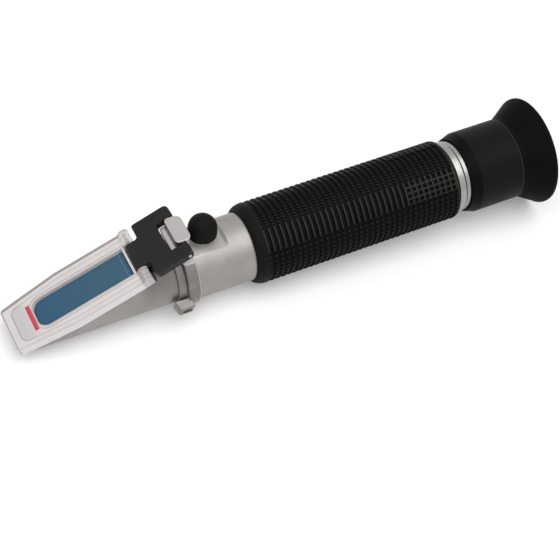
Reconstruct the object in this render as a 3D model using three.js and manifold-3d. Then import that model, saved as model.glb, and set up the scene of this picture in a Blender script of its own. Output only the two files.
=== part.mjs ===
// A handheld refractometer for sugar in water. A metal housing holds a glass prism under a clear
// hinged cover. Light runs from the prism through a lens and a scale to the eyepiece.
// Millimetres. X runs along the optical axis towards the eyepiece, Z points up through the
// rubber cap. Inside this file x is 0 at the seam between the two castings and z is 0 on the axis.
import * as THREE from 'three';
import { mergeVertices } from 'three/addons/utils/BufferGeometryUtils.js';
import Module from 'manifold-3d';

const wasm = await Module();
wasm.setup();

// Steps of a full turn
const turnSteps = 32;
const smallTurnSteps = 20;
const arcSteps = 8;

// Clearances and overruns
const gap = 0.3;
const seamGap = 0.15;
const overrun = 4;

// Body tube, which sets the width of all that meets it
const tubeRadius = 12;
const tubeWall = 0.8;
const tubeBore = tubeRadius - tubeWall;
const tubeSpigotRadius = tubeBore - gap;
const spigotWall = 1.3;
const castingBore = tubeSpigotRadius - spigotWall;
const tubeEngagement = 10;
const tubeCover = 2.7;

// Front housing
const housingInset = 1.25;
const housingRadius = tubeRadius - housingInset;
const housingLength = 53.1;
const frontFlangeStep = 0.85;
const frontFlangeRadius = housingRadius + frontFlangeStep;
const frontFlangeLength = 2.75;
const shoulderInset = 1.35;
const shoulderHalfWidth = housingRadius - shoulderInset;
const shoulderLength = 46;
const saddleLength = 9.5;
const deckDrop = 1.75;
const spigotLength = 6;
const lightWall = 1.5;
const lightBore = castingBore - gap - lightWall;

// Prism
const prismTilt = THREE.MathUtils.degToRad(21.2);
const prismHeelX = -16.7;
const prismRise = 0.55;
const prismHeelZ = housingRadius + prismRise;
const prismReach = 33.2;
const prismInset = 4.65;
const prismTaper = 0.5;
const prismRearHalfWidth = housingRadius - prismInset;
const prismFrontHalfWidth = prismRearHalfWidth - prismTaper;
const prismCorner = 3.6;
const prismFloorZ = -4.6;
const sealWidth = 1.3;
const sealFront = 2.9;
const sealHeight = 1;

// Clear cover
const coverReach = 45.5;
const coverTop = 1.2;
const coverBottom = -1.4;
const coverOverhang = 0.55;
const coverRearHalfWidth = housingRadius + coverOverhang;
const coverFrontTaper = 2.3;
const coverShoulderTaper = 1.4;
const coverShoulderReach = 7.2;
const coverFullWidthReach = 21;
const coverCorner = 1;
const coverWall = 1.8;
const coverRearEdge = 1;
const earRadius = 1.9;
const earClearance = 0.5;
const markerHalfWidth = 5.2;
const markerWidth = 1.5;
const markerThickness = 0.3;
const markerProud = 0.05;
const markerInset = 9;

// Rear casting
const flangeOverhang = 1.3;
const rearFlangeRadius = tubeRadius + flangeOverhang;
const rearFlangeLength = 4.15;
const castingStep = 0.24;
const castingRadius = tubeRadius + castingStep;
const castingLength = 25.25;
const flatDepth = 1.44;
const flatZ = castingRadius - flatDepth;
const flatLength = 17.15;

// Hinge lug: a tab on the flat, with a nose in front of it
const lugHalfWidth = 5.6;
const lugRise = 10.3;
const lugTopZ = flatZ + lugRise;
const lugRoot = 6;
const lugFrontX = -1.9;
const lugBackX = 3.9;
const lugFrontCorner = 1.6;
const lugBackCorner = 2.4;
const lugChamfer = 0.6;
const noseHalfWidth = 5.3;
const noseFrontX = -2.78;
const noseShoulderDrop = 5.55;
const noseTipX = -3.44;
const noseTipDrop = 3.98;
const noseTopDrop = 3.34;

// Hinge block, measured from its pin
const blockTilt = THREE.MathUtils.degToRad(22.8);
const blockPinX = 0.7;
const blockPinDrop = 1.7;
const blockPinZ = lugTopZ - blockPinDrop;
const blockThickness = 3;
const blockInset = 0.1;
const blockHalfWidth = coverRearHalfWidth - blockInset;
const blockReach = 12.4;
const blockTail = 1.5;
const blockCorner = 1;
const blockTailCorner = 1.8;
const notchHalfWidth = 6;
const notchReach = 5;
const tongueHalfWidth = 5.3;
const coverPinReach = 15.96;
const blockPinRadius = 0.7;
const coverPinRadius = 0.7;
const pinInset = 0.4;

// Set screws that hold the front housing
const bossAngle = THREE.MathUtils.degToRad(70);
const bossX = -1.3;
const bossFrontReach = 3.6;
const bossBackReach = 2.6;
const bossHalfWidth = 2.8;
const bossRise = 2.2;
const bossTop = rearFlangeRadius + bossRise;
const bossChamfer = 1.2;
const setScrewRadius = 1.5;
const setScrewLength = 2.6;
const slotWidth = 0.7;
const slotDepth = 0.9;

// Calibration screw and its rubber cap
const capX = 10.1;
const capRadius = 5.04;
const capLift = 3.4;
const capShoulder = 3.1;
const capWall = 2.2;
const neckHeight = 6.6;
const neckTopZ = flatZ + neckHeight;
const calibrationRadius = 1.4;
const calibrationHeadDrop = 0.9;

// Lens carriage and its leaf spring
const springThickness = 0.3;
const springRoom = 0.8;
const springAngle = THREE.MathUtils.degToRad(50);
const carriageRadius = castingBore - gap - springThickness - springRoom;
const carriageX = 9;
const carriageRim = 2.4;
const carriageLength = 17;
const carriageWall = 1.6;
const armHalfWidth = 3;
const armThickness = 1;
const armDepth = Math.sqrt(carriageRadius * carriageRadius - armHalfWidth * armHalfWidth);
const postLength = 2;
const postHeight = 2.2;
const cellInset = 2.9;
const cellRadius = carriageRadius - cellInset;
const cellLength = 4;
const cellWall = 0.9;
const cellFootHalfWidth = 2.4;
const objectiveBulge = 1.2;
const objectiveEdge = 1.4;
const objectiveRim = 0.4;
const stripHalfWidth = 2.2;
const stripThickness = 0.5;

// Grip
const gripThickness = 2.5;
const gripRadius = tubeRadius + gripThickness;
const gripLength = 79.4;
const gripFrontRound = 3.6;
const gripRearRound = 1;
const gripFrontLip = 0.15;
const gripRoundShares = [0, 0.3, 0.62, 0.87, 1];
const endRingThickness = 1.3;
const endRingRadius = tubeRadius + endRingThickness;
const endRingLength = 2.7;

// Scale glass
const reticleCellWall = 2.2;
const reticleRadius = tubeBore - 2 * gap - reticleCellWall;
const reticleThickness = 1.5;
const reticleCellLength = 6;
const reticleSeat = 1.8;
const stopSetback = 30;
const stopWidth = 3.9;
const stopBore = tubeBore - gap - stopWidth;
const stopLength = 2;

// Eyepiece
const seatStep = 0.9;
const seatRadius = tubeRadius + seatStep;
const seatLength = 1.9;
const seatSpigot = 12;
const eyeTubeWall = 1.3;
const eyeTubeFront = 8.5;
const eyeTubeTailRoom = 0.7;
const eyeFlangeLength = 3;
const eyeFlangeSetback = 4.4;
const eyeFlangeRoom = 2;
const eyeLensEdge = 2;
const eyeLensBulge = 1.9;
const eyeLensRim = 1.2;
const spacerLength = 7;
const lensSeat = 1;
const keeperLength = 2;

// Focus sleeve and eyecup
const sleeveWall = 2.55;
const sleeveBore = tubeRadius + gap;
const sleeveRadius = sleeveBore + sleeveWall;
const sleeveLength = 21;
const sleeveChamferLength = 3.7;
const sleeveChamferDepth = 1.25;
const sleeveFrontRadius = sleeveRadius - sleeveChamferDepth;
const sleeveSetback = 0.2;
const recessLength = 3.9;
const lipLength = 1.8;
const plugLength = 2;
const cupLength = 10.9;
const cupFlare = 4.95;
const cupRimRadius = sleeveRadius + cupFlare;
const cupWall = 1.5;
const cupNeckRound = 0.8;
const cupRimFlat = 0.7;

// Stations along the axis
const housingFrontX = -frontFlangeLength - seamGap - housingLength;
const flangeFrontX = -frontFlangeLength - seamGap;
const castingEndX = seamGap + castingLength;
const gripFrontX = castingEndX + gap;
const gripEndX = gripFrontX + gripLength;
const endRingX = gripEndX + gap;
const tubeEndX = endRingX + endRingLength;
const seatX = tubeEndX + gap;
const seatEndX = seatX + seatLength;
const reticleX = seatX - seatSpigot - gap - reticleCellLength;
const stopX = reticleX - stopSetback;
const sleeveX = seatEndX - sleeveSetback;
const sleeveEndX = sleeveX + sleeveLength;
const plugX = sleeveEndX - plugLength;
const eyeTubeEndX = plugX - eyeTubeTailRoom;
const eyeFlangeX = eyeTubeEndX - eyeFlangeSetback;
const cupX = sleeveEndX + gap;
const cupEndX = cupX + cupLength;

// Heights and radii that follow
const deckRise = Math.tan(prismTilt);
const coverPinX = blockPinX - coverPinReach * Math.cos(blockTilt);
const coverPinZ = blockPinZ - coverPinReach * Math.sin(blockTilt);
const capBaseZ = flatZ + capLift;
const coverFrontX = prismHeelX - coverReach * Math.cos(prismTilt) - coverTop * Math.sin(prismTilt);

// Finishes: colour, roughness and metalness
const satinMetal = [0xb6b2ad, 0.42, 0.85];
const brightMetal = [0xc9c7c3, 0.3, 0.95];
const blackPlastic = [0x33352f, 0.5, 0];
const rubber = [0x1c1d1b, 0.8, 0];
const clearPlastic = [0xe9e4e6, 0.08, 0];
const prismGlass = [0x4a6f8f, 0.1, 0];
const lensGlass = [0xd9e6ea, 0.05, 0];
const brass = [0xa98a4a, 0.35, 0.9];
const redPrint = [0xcf4a5c, 0.5, 0];
const paleSeal = [0xe6dfdc, 0.6, 0];
const darkMetal = [0x3b3c3d, 0.55, 0.6];

// Turns a closed three.js geometry into a solid that can be cut and joined
function solid(geometry) {
  const bare = geometry.clone();
  bare.deleteAttribute('normal');
  bare.deleteAttribute('uv');
  const merged = mergeVertices(bare);
  const vertProperties = new Float32Array(merged.attributes.position.array);
  const triVerts = new Uint32Array(merged.index.array);
  return new wasm.Manifold(new wasm.Mesh({ numProp: 3, vertProperties, triVerts }));
}

// Gives the geometry of a solid back
function geometryOf(body) {
  const mesh = body.getMesh();
  const geometry = new THREE.BufferGeometry();
  geometry.setAttribute('position', new THREE.BufferAttribute(mesh.vertProperties, mesh.numProp));
  geometry.setIndex(new THREE.BufferAttribute(mesh.triVerts, 1));
  const flat = geometry.toNonIndexed();
  flat.computeVertexNormals();
  return flat;
}

function piece(name, geometry, finish) {
  const [color, roughness, metalness] = finish;
  const mesh = new THREE.Mesh(geometry, new THREE.MeshStandardMaterial({ color, roughness, metalness }));
  mesh.name = name;
  return mesh;
}

// A closed outline of [x, radius] turned about the optical axis
function turned(outline, steps = turnSteps) {
  const points = outline.map(([x, radius]) => new THREE.Vector2(radius, x));
  const geometry = new THREE.LatheGeometry([...points, points[0]], steps);
  return geometry.rotateZ(-Math.PI / 2);
}

// A disc or shaft on the axis, solid to its centre
function turnedSolid(outline, steps = turnSteps) {
  const points = outline.map(([x, radius]) => new THREE.Vector2(radius, x));
  return new THREE.LatheGeometry(points, steps).rotateZ(-Math.PI / 2);
}

function ring(fromX, toX, inner, outer, steps = turnSteps) {
  return turned([[fromX, inner], [toX, inner], [toX, outer], [fromX, outer]].reverse(), steps);
}

function disc(fromX, toX, radius, steps = turnSteps) {
  return turnedSolid([[fromX, 0], [fromX, radius], [toX, radius], [toX, 0]], steps);
}

// A block between two corners
function block(low, high) {
  const size = high.map((value, i) => value - low[i]);
  const middle = high.map((value, i) => (value + low[i]) / 2);
  return new THREE.BoxGeometry(...size).translate(...middle);
}

// An outline of [x, z] pulled across the part to both sides of the middle plane
function sidePlate(outline, halfWidth) {
  const shape = new THREE.Shape(outline.map(([x, z]) => new THREE.Vector2(x, z)));
  const geometry = new THREE.ExtrudeGeometry(shape, { depth: 2 * halfWidth, bevelEnabled: false });
  return geometry.rotateX(Math.PI / 2).translate(0, halfWidth, 0);
}

// An outline of [x, y], or a shape, pulled up from one height to another
function plate(outline, fromZ, toZ) {
  const shape = Array.isArray(outline)
    ? new THREE.Shape(outline.map(([x, y]) => new THREE.Vector2(x, y))) : outline;
  const geometry = new THREE.ExtrudeGeometry(shape, {
    depth: toZ - fromZ, bevelEnabled: false, curveSegments: arcSteps,
  });
  return geometry.translate(0, 0, fromZ);
}

// A round bar across the part
function crossBar(x, z, radius, halfLength, steps = smallTurnSteps) {
  return new THREE.CylinderGeometry(radius, radius, 2 * halfLength, steps).translate(x, 0, z);
}

// A round bar that stands up at x on the middle plane
function upright(x, fromZ, toZ, radius, steps = smallTurnSteps) {
  const bar = new THREE.CylinderGeometry(radius, radius, toZ - fromZ, steps);
  return bar.rotateX(Math.PI / 2).translate(x, 0, (fromZ + toZ) / 2);
}

// An outline of [x, y] corners, each rounded by its own radius
function roundedOutline(corners) {
  const shape = new THREE.Shape();
  corners.forEach(([x, y, radius], i) => {
    const at = new THREE.Vector2(x, y);
    const [px, py] = corners[(i + corners.length - 1) % corners.length];
    const [nx, ny] = corners[(i + 1) % corners.length];
    const into = new THREE.Vector2(px, py).sub(at).normalize().multiplyScalar(radius).add(at);
    const out = new THREE.Vector2(nx, ny).sub(at).normalize().multiplyScalar(radius).add(at);
    if (i === 0) {
      shape.moveTo(into.x, into.y);
    } else {
      shape.lineTo(into.x, into.y);
    }
    if (radius > 0) {
      shape.quadraticCurveTo(at.x, at.y, out.x, out.y);
    }
  });
  shape.closePath();
  return shape;
}

// Puts a piece that is drawn flat on the prism's plane where it belongs
function onPrismPlane(geometry) {
  return geometry.clone().rotateY(-prismTilt).translate(prismHeelX, 0, prismHeelZ);
}

// Height of the plane that lies a distance above the prism's face, at x
function planeHeight(x, above) {
  return prismHeelZ + (x - prismHeelX) * deckRise + above / Math.cos(prismTilt);
}

// The prism, or its pocket when it is grown by a clearance
function prismBody(clearance) {
  const tipX = prismHeelX - prismReach - clearance;
  const rearX = prismHeelX + clearance;
  const top = clearance > 0 ? overrun : 0;
  const profile = [
    [rearX, prismFloorZ - clearance],
    [rearX, prismHeelZ + top],
    [prismHeelX, prismHeelZ + top],
    [tipX, planeHeight(tipX, 0) + top],
    [tipX, prismFloorZ - clearance],
  ];
  const plan = roundedOutline([
    [rearX + overrun, prismRearHalfWidth + clearance, 0],
    [tipX, prismFrontHalfWidth + clearance, prismCorner],
    [tipX, -prismFrontHalfWidth - clearance, prismCorner],
    [rearX + overrun, -prismRearHalfWidth - clearance, 0],
  ]);
  const column = plate(plan, prismFloorZ - overrun, prismHeelZ + 2 * overrun);
  return solid(sidePlate(profile, housingRadius)).intersect(solid(column));
}

// Front casting: a round bar cut back to a sloping deck, with the prism's pocket in it
function prismHousing() {
  const body = solid(turnedSolid([
    [housingFrontX, 0],
    [housingFrontX, housingRadius],
    [flangeFrontX, housingRadius],
    [flangeFrontX, frontFlangeRadius],
    [-seamGap, frontFlangeRadius],
    [-seamGap, castingBore - gap],
    [spigotLength, castingBore - gap],
    [spigotLength, 0],
  ]));
  const shoulders = solid(block(
    [housingFrontX, -shoulderHalfWidth, 0],
    [housingFrontX + shoulderLength, shoulderHalfWidth, prismHeelZ],
  ));
  const saddleZ = planeHeight(prismHeelX, -deckDrop);
  const saddleEndX = prismHeelX + saddleLength;
  const frontX = housingFrontX - overrun;
  const space = sidePlate([
    [frontX, planeHeight(frontX, -deckDrop)],
    [prismHeelX, saddleZ],
    [saddleEndX, saddleZ],
    [saddleEndX, housingRadius + overrun],
    [frontX, housingRadius + overrun],
  ], housingRadius + overrun);
  const lightPath = disc(prismHeelX, spigotLength + overrun, lightBore);
  return body.add(shoulders).subtract(solid(space)).subtract(prismBody(gap)).subtract(solid(lightPath));
}

// A pale seal that runs round the prism on the deck
function prismSeal() {
  const tip = -prismReach / Math.cos(prismTilt) - sealFront;
  const outline = roundedOutline([
    [sealWidth, prismRearHalfWidth + sealWidth, 0],
    [tip, prismFrontHalfWidth + sealWidth, prismCorner],
    [tip, -prismFrontHalfWidth - sealWidth, prismCorner],
    [sealWidth, -prismRearHalfWidth - sealWidth, 0],
  ]);
  const low = gap - deckDrop;
  const outer = solid(onPrismPlane(plate(outline, low, low + sealHeight)));
  const rearCut = block([prismHeelX - gap, -overrun * 3, prismFloorZ], [0, overrun * 3, blockPinZ]);
  return outer.subtract(prismBody(gap)).subtract(solid(rearCut));
}

// Half width of the cover at a distance in front of the prism's heel
const coverSides = [
  [coverReach, coverRearHalfWidth - coverFrontTaper, coverCorner],
  [coverReach - coverShoulderReach, coverRearHalfWidth - coverShoulderTaper, 0],
  [coverReach - coverFullWidthReach, coverRearHalfWidth, 0],
];

function coverOutline(rear, inset) {
  const far = coverSides.map(([reach, half, round], i) => (
    [-reach + (i === 0 ? inset : 0), inset - half, round + (i === 0 ? inset : 0)]));
  const near = far.map(([x, y, round]) => [x, -y, round]).reverse();
  const half = coverRearHalfWidth - inset;
  return roundedOutline([[rear, -half, 0], [rear, half, 0], ...near, ...far]);
}

// Pin of the cover in the frame of the prism's plane
const pinDx = coverPinX - prismHeelX;
const pinDz = coverPinZ - prismHeelZ;
const coverPinAlong = pinDx * Math.cos(prismTilt) + pinDz * Math.sin(prismTilt);
const coverPinAbove = pinDz * Math.cos(prismTilt) - pinDx * Math.sin(prismTilt);
const earInner = tongueHalfWidth + earClearance;

// The straight red strip in the top of the cover, or its groove when it is grown by a clearance
function markerStrip(clearance, low, high) {
  const middleX = markerInset - coverReach;
  const halfLength = markerHalfWidth + clearance;
  const half = markerWidth / 2 + clearance;
  return block([middleX - half, -halfLength, low], [middleX + half, halfLength, high]);
}

// Clear tray that presses the sample on the prism, with two ears for its pin
function daylightPlate() {
  const slab = solid(plate(coverOutline(coverRearEdge, 0), coverBottom, coverTop));
  const pocket = solid(plate(coverOutline(coverRearEdge + overrun, coverWall), coverBottom - overrun, gap));
  const groove = solid(markerStrip(gap, coverTop - markerThickness - gap, coverTop + overrun));
  const arm = solid(sidePlate([
    [coverRearEdge - gap, coverBottom],
    [coverPinAlong, coverPinAbove - earRadius],
    [coverPinAlong, coverPinAbove + earRadius],
    [coverRearEdge - gap, coverTop],
  ], coverRearHalfWidth));
  const ear = solid(crossBar(coverPinAlong, coverPinAbove, earRadius, coverRearHalfWidth));
  const middle = solid(block(
    [coverRearEdge - gap, -earInner, coverBottom - overrun],
    [coverPinAlong + earRadius + overrun, earInner, coverPinAbove + earRadius + overrun],
  ));
  const holeRadius = coverPinRadius + gap;
  const hole = solid(crossBar(coverPinAlong, coverPinAbove, holeRadius, coverRearHalfWidth + overrun));
  return slab.subtract(pocket).subtract(groove).add(arm.add(ear).subtract(middle)).subtract(hole);
}

// Black block of the double hinge, drawn about its pin
function hingeBlock() {
  const half = blockThickness / 2;
  const outline = roundedOutline([
    [blockTail, notchHalfWidth, blockCorner],
    [blockTail, blockHalfWidth, blockTailCorner],
    [-blockReach, blockHalfWidth, blockCorner],
    [-blockReach, tongueHalfWidth, blockCorner],
    [-coverPinReach, tongueHalfWidth, 0],
    [-coverPinReach, -tongueHalfWidth, 0],
    [-blockReach, -tongueHalfWidth, blockCorner],
    [-blockReach, -blockHalfWidth, blockCorner],
    [blockTail, -blockHalfWidth, blockTailCorner],
    [blockTail, -notchHalfWidth, blockCorner],
    [-notchReach, -notchHalfWidth, 0],
    [-notchReach, notchHalfWidth, 0],
  ]);
  const tip = solid(crossBar(-coverPinReach, 0, half, tongueHalfWidth));
  const pinHole = solid(crossBar(0, 0, blockPinRadius + gap, blockHalfWidth + overrun));
  const coverHole = solid(crossBar(-coverPinReach, 0, coverPinRadius + gap, blockHalfWidth));
  return solid(plate(outline, -half, half)).add(tip).subtract(pinHole).subtract(coverHole);
}

// Side bosses stand off the rear flange and reach over the front one
function sideBoss(side) {
  const foot = frontFlangeRadius + gap + seamGap;
  const low = bossX - bossFrontReach;
  const high = bossX + bossBackReach;
  const boss = sidePlate([
    [low, foot],
    [low, foot + bossChamfer / 2],
    [low + bossChamfer, bossTop],
    [high - bossChamfer / 2, bossTop],
    [high, bossTop - bossChamfer / 2],
    [high, foot],
  ], bossHalfWidth);
  return solid(boss.rotateX(side * (Math.PI - bossAngle)));
}

function radialBar(side, fromRadius, toRadius, radius, steps) {
  return upright(bossX, fromRadius, toRadius, radius, steps).rotateX(side * (Math.PI - bossAngle));
}

// Hinge lug: a tab with round corners, and a nose in front that reaches over the front flange
function hingeLug() {
  const footX = 2 * seamGap;
  const footZ = frontFlangeRadius + gap + seamGap;
  const plan = roundedOutline([
    [lugFrontX, lugHalfWidth, lugFrontCorner],
    [lugFrontX, -lugHalfWidth, lugFrontCorner],
    [lugBackX, -lugHalfWidth, lugBackCorner],
    [lugBackX, lugHalfWidth, lugBackCorner],
  ]);
  const side = sidePlate([
    [lugFrontX, footZ],
    [lugFrontX, lugTopZ - lugChamfer],
    [lugFrontX + lugChamfer, lugTopZ],
    [lugBackX + overrun, lugTopZ],
    [lugBackX + overrun, lugRoot],
    [footX, lugRoot],
    [footX, footZ],
  ], lugHalfWidth + overrun);
  const nose = sidePlate([
    [noseFrontX, footZ],
    [noseFrontX, lugTopZ - noseShoulderDrop],
    [noseTipX, lugTopZ - noseTipDrop],
    [lugFrontX, lugTopZ - noseTopDrop],
    [footX, lugTopZ - noseTopDrop],
    [footX, footZ],
  ], noseHalfWidth);
  const tab = solid(plate(plan, lugRoot - overrun, lugTopZ + overrun)).intersect(solid(side));
  return tab.add(solid(nose));
}

// Rear casting: flange, round body with a milled flat, the hinge lug, and the neck round the
// calibration screw
function mainBarrel() {
  const body = solid(turnedSolid([
    [seamGap, 0],
    [seamGap, rearFlangeRadius],
    [seamGap + rearFlangeLength, rearFlangeRadius],
    [seamGap + rearFlangeLength, castingRadius],
    [castingEndX, castingRadius],
    [castingEndX, tubeRadius],
    [castingEndX + tubeCover, tubeRadius],
    [castingEndX + tubeCover, tubeSpigotRadius],
    [castingEndX + tubeCover + tubeEngagement, tubeSpigotRadius],
    [castingEndX + tubeCover + tubeEngagement, 0],
  ]));
  const flat = block(
    [-overrun, -rearFlangeRadius - overrun, flatZ],
    [seamGap + flatLength, rearFlangeRadius + overrun, rearFlangeRadius + overrun],
  );
  const neck = upright(capX, lugRoot, neckTopZ, capRadius - capWall - gap);
  let casting = body.subtract(solid(flat)).add(hingeLug()).add(solid(neck));
  for (const side of [1, -1]) {
    casting = casting.add(sideBoss(side));
    casting = casting.subtract(solid(radialBar(side, castingBore, bossTop + overrun, setScrewRadius + gap)));
  }
  const end = castingEndX + tubeCover + tubeEngagement + overrun;
  return casting
    .subtract(solid(disc(-overrun, end, castingBore)))
    .subtract(solid(crossBar(blockPinX, blockPinZ, blockPinRadius + gap, lugHalfWidth + overrun)))
    .subtract(solid(upright(capX, 0, neckTopZ + overrun, calibrationRadius + gap)));
}

// A short brass screw with a slot, which presses on the front flange
function setScrew(side) {
  const foot = frontFlangeRadius + gap;
  const top = foot + setScrewLength;
  const slot = block(
    [bossX - overrun, -slotWidth / 2, top - slotDepth],
    [bossX + overrun, slotWidth / 2, top + overrun],
  );
  slot.rotateX(side * (Math.PI - bossAngle));
  return solid(radialBar(side, foot, top, setScrewRadius)).subtract(solid(slot));
}

function calibrationScrew() {
  const top = neckTopZ - calibrationHeadDrop;
  const foot = carriageRadius + gap;
  const shaft = solid(upright(capX, foot, top, calibrationRadius));
  const slot = block(
    [capX - overrun, -slotWidth / 2, top - slotDepth],
    [capX + overrun, slotWidth / 2, top + overrun],
  );
  return shaft.subtract(solid(slot));
}

// Rubber dome that covers the screw: a cup with a round end, which sits on the neck above the flat
function calibrationCap() {
  const inner = capRadius - capWall;
  const dome = (radius) => Array.from({ length: arcSteps + 1 }, (_, i) => {
    const turn = (i / arcSteps) * Math.PI / 2;
    return new THREE.Vector2(radius * Math.cos(turn), capShoulder + radius * Math.sin(turn));
  });
  const outside = [new THREE.Vector2(capRadius, 0), ...dome(capRadius)];
  const inside = [new THREE.Vector2(inner, 0), ...dome(inner)].reverse();
  outside[outside.length - 1].x = 0;
  inside[0].x = 0;
  const geometry = new THREE.LatheGeometry([...inside, ...outside], smallTurnSteps);
  return geometry.rotateX(Math.PI / 2);
}

// Frame that the calibration screw shifts: a ring, an arm under the axis and a post
function lensCarriage() {
  const low = -armDepth;
  const frame = solid(disc(carriageX, carriageX + carriageRim, carriageRadius));
  const armEnd = carriageX + carriageLength;
  const arm = solid(block([carriageX, -armHalfWidth, low], [armEnd, armHalfWidth, low + armThickness]));
  const post = solid(block(
    [armEnd - postLength, -armHalfWidth, low],
    [armEnd, armHalfWidth, low + postHeight],
  ));
  const windowEnd = carriageX + carriageRim + overrun;
  const window = solid(disc(carriageX - overrun, windowEnd, carriageRadius - carriageWall));
  return frame.subtract(window).add(arm).add(post);
}

const cellX = carriageX + carriageRim + gap;
const stripZ = -armDepth + armThickness + gap;

// Short tube that holds the objective, with a foot for the bimetal strip
function objectiveCell() {
  const foot = solid(block(
    [cellX, -cellFootHalfWidth, stripZ + stripThickness + gap],
    [cellX + cellLength, cellFootHalfWidth, -cellRadius + cellWall],
  ));
  const tube = solid(disc(cellX, cellX + cellLength, cellRadius));
  const bore = solid(disc(cellX - overrun, cellX + cellLength + overrun, cellRadius - cellWall));
  return tube.add(foot).subtract(bore);
}

// A lens between two bulging faces, with a flat rim for its seat
function lens(middleX, radius, rim, edge, bulge) {
  const face = (side) => Array.from({ length: arcSteps / 2 + 1 }, (_, i) => {
    const share = i / (arcSteps / 2);
    return [middleX + side * (edge / 2 + bulge * (1 - share * share)), (radius - rim) * share];
  });
  const edges = [[middleX - edge / 2, radius], [middleX + edge / 2, radius]];
  return turnedSolid([...face(-1), ...edges, ...face(1).reverse()], smallTurnSteps);
}

function returnSpring() {
  const outer = castingBore - gap;
  const shape = new THREE.Shape();
  shape.absarc(0, 0, outer, -springAngle, springAngle, false);
  shape.absarc(0, 0, outer - springThickness, springAngle, -springAngle, true);
  shape.closePath();
  const leaf = new THREE.ExtrudeGeometry(shape, {
    depth: carriageRim, bevelEnabled: false, curveSegments: arcSteps,
  });
  return leaf.rotateY(Math.PI / 2).translate(carriageX, 0, 0);
}

// Rubber sleeve with rounded ends
function gripSleeve() {
  const inner = tubeRadius + gap;
  const front = gripRoundShares.map((share) => [
    gripFrontX + gripFrontRound * (1 - Math.sqrt(1 - share * share)),
    inner + gripFrontLip + (gripRadius - inner - gripFrontLip) * share,
  ]);
  const rear = gripRoundShares.map((share) => [
    gripEndX - gripRearRound * (1 - Math.sqrt(1 - share * share)),
    gripRadius - gripRearRound * (1 - share),
  ]).reverse();
  return turned([[gripFrontX, inner], ...front, ...rear, [gripEndX, inner]]);
}

const reticleBore = reticleRadius - reticleSeat;

function reticleCell() {
  const rear = reticleX + reticleCellLength;
  const outer = tubeBore - gap;
  return turned([
    [reticleX, reticleBore],
    [reticleX, outer],
    [rear, outer],
    [rear, reticleRadius + gap],
    [reticleX + reticleSeat, reticleRadius + gap],
    [reticleX + reticleSeat, reticleBore],
  ]);
}

function eyepieceSeat() {
  return turned([
    [seatX - seatSpigot, castingBore],
    [seatX - seatSpigot, tubeSpigotRadius],
    [seatX, tubeSpigotRadius],
    [seatX, seatRadius],
    [seatEndX, seatRadius],
    [seatEndX, tubeRadius],
    [eyeFlangeX - eyeFlangeRoom, tubeRadius],
    [eyeFlangeX - eyeFlangeRoom, castingBore],
  ]);
}

const eyeTubeRadius = castingBore - gap;
const eyeTubeBore = eyeTubeRadius - eyeTubeWall;
const eyeLensRadius = eyeTubeBore - gap;
const eyeTubeX = seatX - eyeTubeFront;

function eyeTube() {
  return turned([
    [eyeTubeX, eyeTubeBore - lensSeat],
    [eyeTubeX, eyeTubeRadius],
    [eyeFlangeX, eyeTubeRadius],
    [eyeFlangeX, tubeRadius],
    [eyeFlangeX + eyeFlangeLength, tubeRadius],
    [eyeFlangeX + eyeFlangeLength, eyeTubeRadius],
    [eyeTubeEndX, eyeTubeRadius],
    [eyeTubeEndX, eyeTubeBore],
    [eyeTubeX + lensSeat, eyeTubeBore],
    [eyeTubeX + lensSeat, eyeTubeBore - lensSeat],
  ]);
}

const fieldLensX = eyeTubeEndX - keeperLength - 2 * gap - eyeLensEdge * 3 / 2 - spacerLength - 2 * gap;
const eyeLensX = fieldLensX + eyeLensEdge + spacerLength + 2 * gap;

function focusSleeve() {
  const flangeRoomEnd = eyeFlangeX + eyeFlangeLength + gap;
  const lipEnd = flangeRoomEnd + lipLength;
  return turned([
    [sleeveX, seatRadius + gap],
    [sleeveX, sleeveFrontRadius],
    [sleeveX + sleeveChamferLength, sleeveRadius],
    [sleeveEndX, sleeveRadius],
    [sleeveEndX, sleeveBore],
    [lipEnd, sleeveBore],
    [lipEnd, eyeTubeRadius + 2 * gap],
    [flangeRoomEnd, eyeTubeRadius + 2 * gap],
    [flangeRoomEnd, sleeveBore],
    [sleeveX + recessLength, sleeveBore],
    [sleeveX + recessLength, seatRadius + gap],
  ]);
}

// Flared rubber cup with a plug that grips the sleeve
function eyecup() {
  const plugRadius = sleeveBore - gap;
  const inner = plugRadius - cupWall;
  return turned([
    [plugX, inner],
    [plugX, plugRadius],
    [cupX, plugRadius],
    [cupX, sleeveRadius],
    [cupX + cupNeckRound, sleeveRadius],
    [cupEndX - cupRimFlat, cupRimRadius],
    [cupEndX, cupRimRadius],
    [cupEndX, cupRimRadius - cupWall],
    [cupX + cupWall, inner + cupWall / 2],
    [cupX, inner],
  ]);
}

// The whole object, on its lowest point and centred along its length
const object = new THREE.Group();
object.name = 'refractometer';
object.position.set(-(coverFrontX + cupEndX) / 2, 0, cupRimRadius);

function put(...meshes) {
  meshes.forEach((mesh) => object.add(mesh));
}

put(
  piece('prism_housing', geometryOf(prismHousing()), satinMetal),
  piece('prism', geometryOf(prismBody(0)), prismGlass),
  piece('prism_seal', geometryOf(prismSeal()), paleSeal),
  piece('main_barrel', geometryOf(mainBarrel()), satinMetal),
  piece('set_screw_near', geometryOf(setScrew(1)), brass),
  piece('set_screw_far', geometryOf(setScrew(-1)), brass),
  piece('calibration_screw', geometryOf(calibrationScrew()), brass),
);

const coverGroup = new THREE.Group();
coverGroup.position.set(prismHeelX, 0, prismHeelZ);
coverGroup.rotation.y = -prismTilt;
const coverPinHalf = coverRearHalfWidth - pinInset;
const markerTop = coverTop + markerProud;
coverGroup.add(
  piece('daylight_plate', geometryOf(daylightPlate()), clearPlastic),
  piece('marker_strip', markerStrip(0, markerTop - markerThickness, markerTop), redPrint),
  piece('cover_pin', crossBar(coverPinAlong, coverPinAbove, coverPinRadius, coverPinHalf), brightMetal),
);

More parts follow.
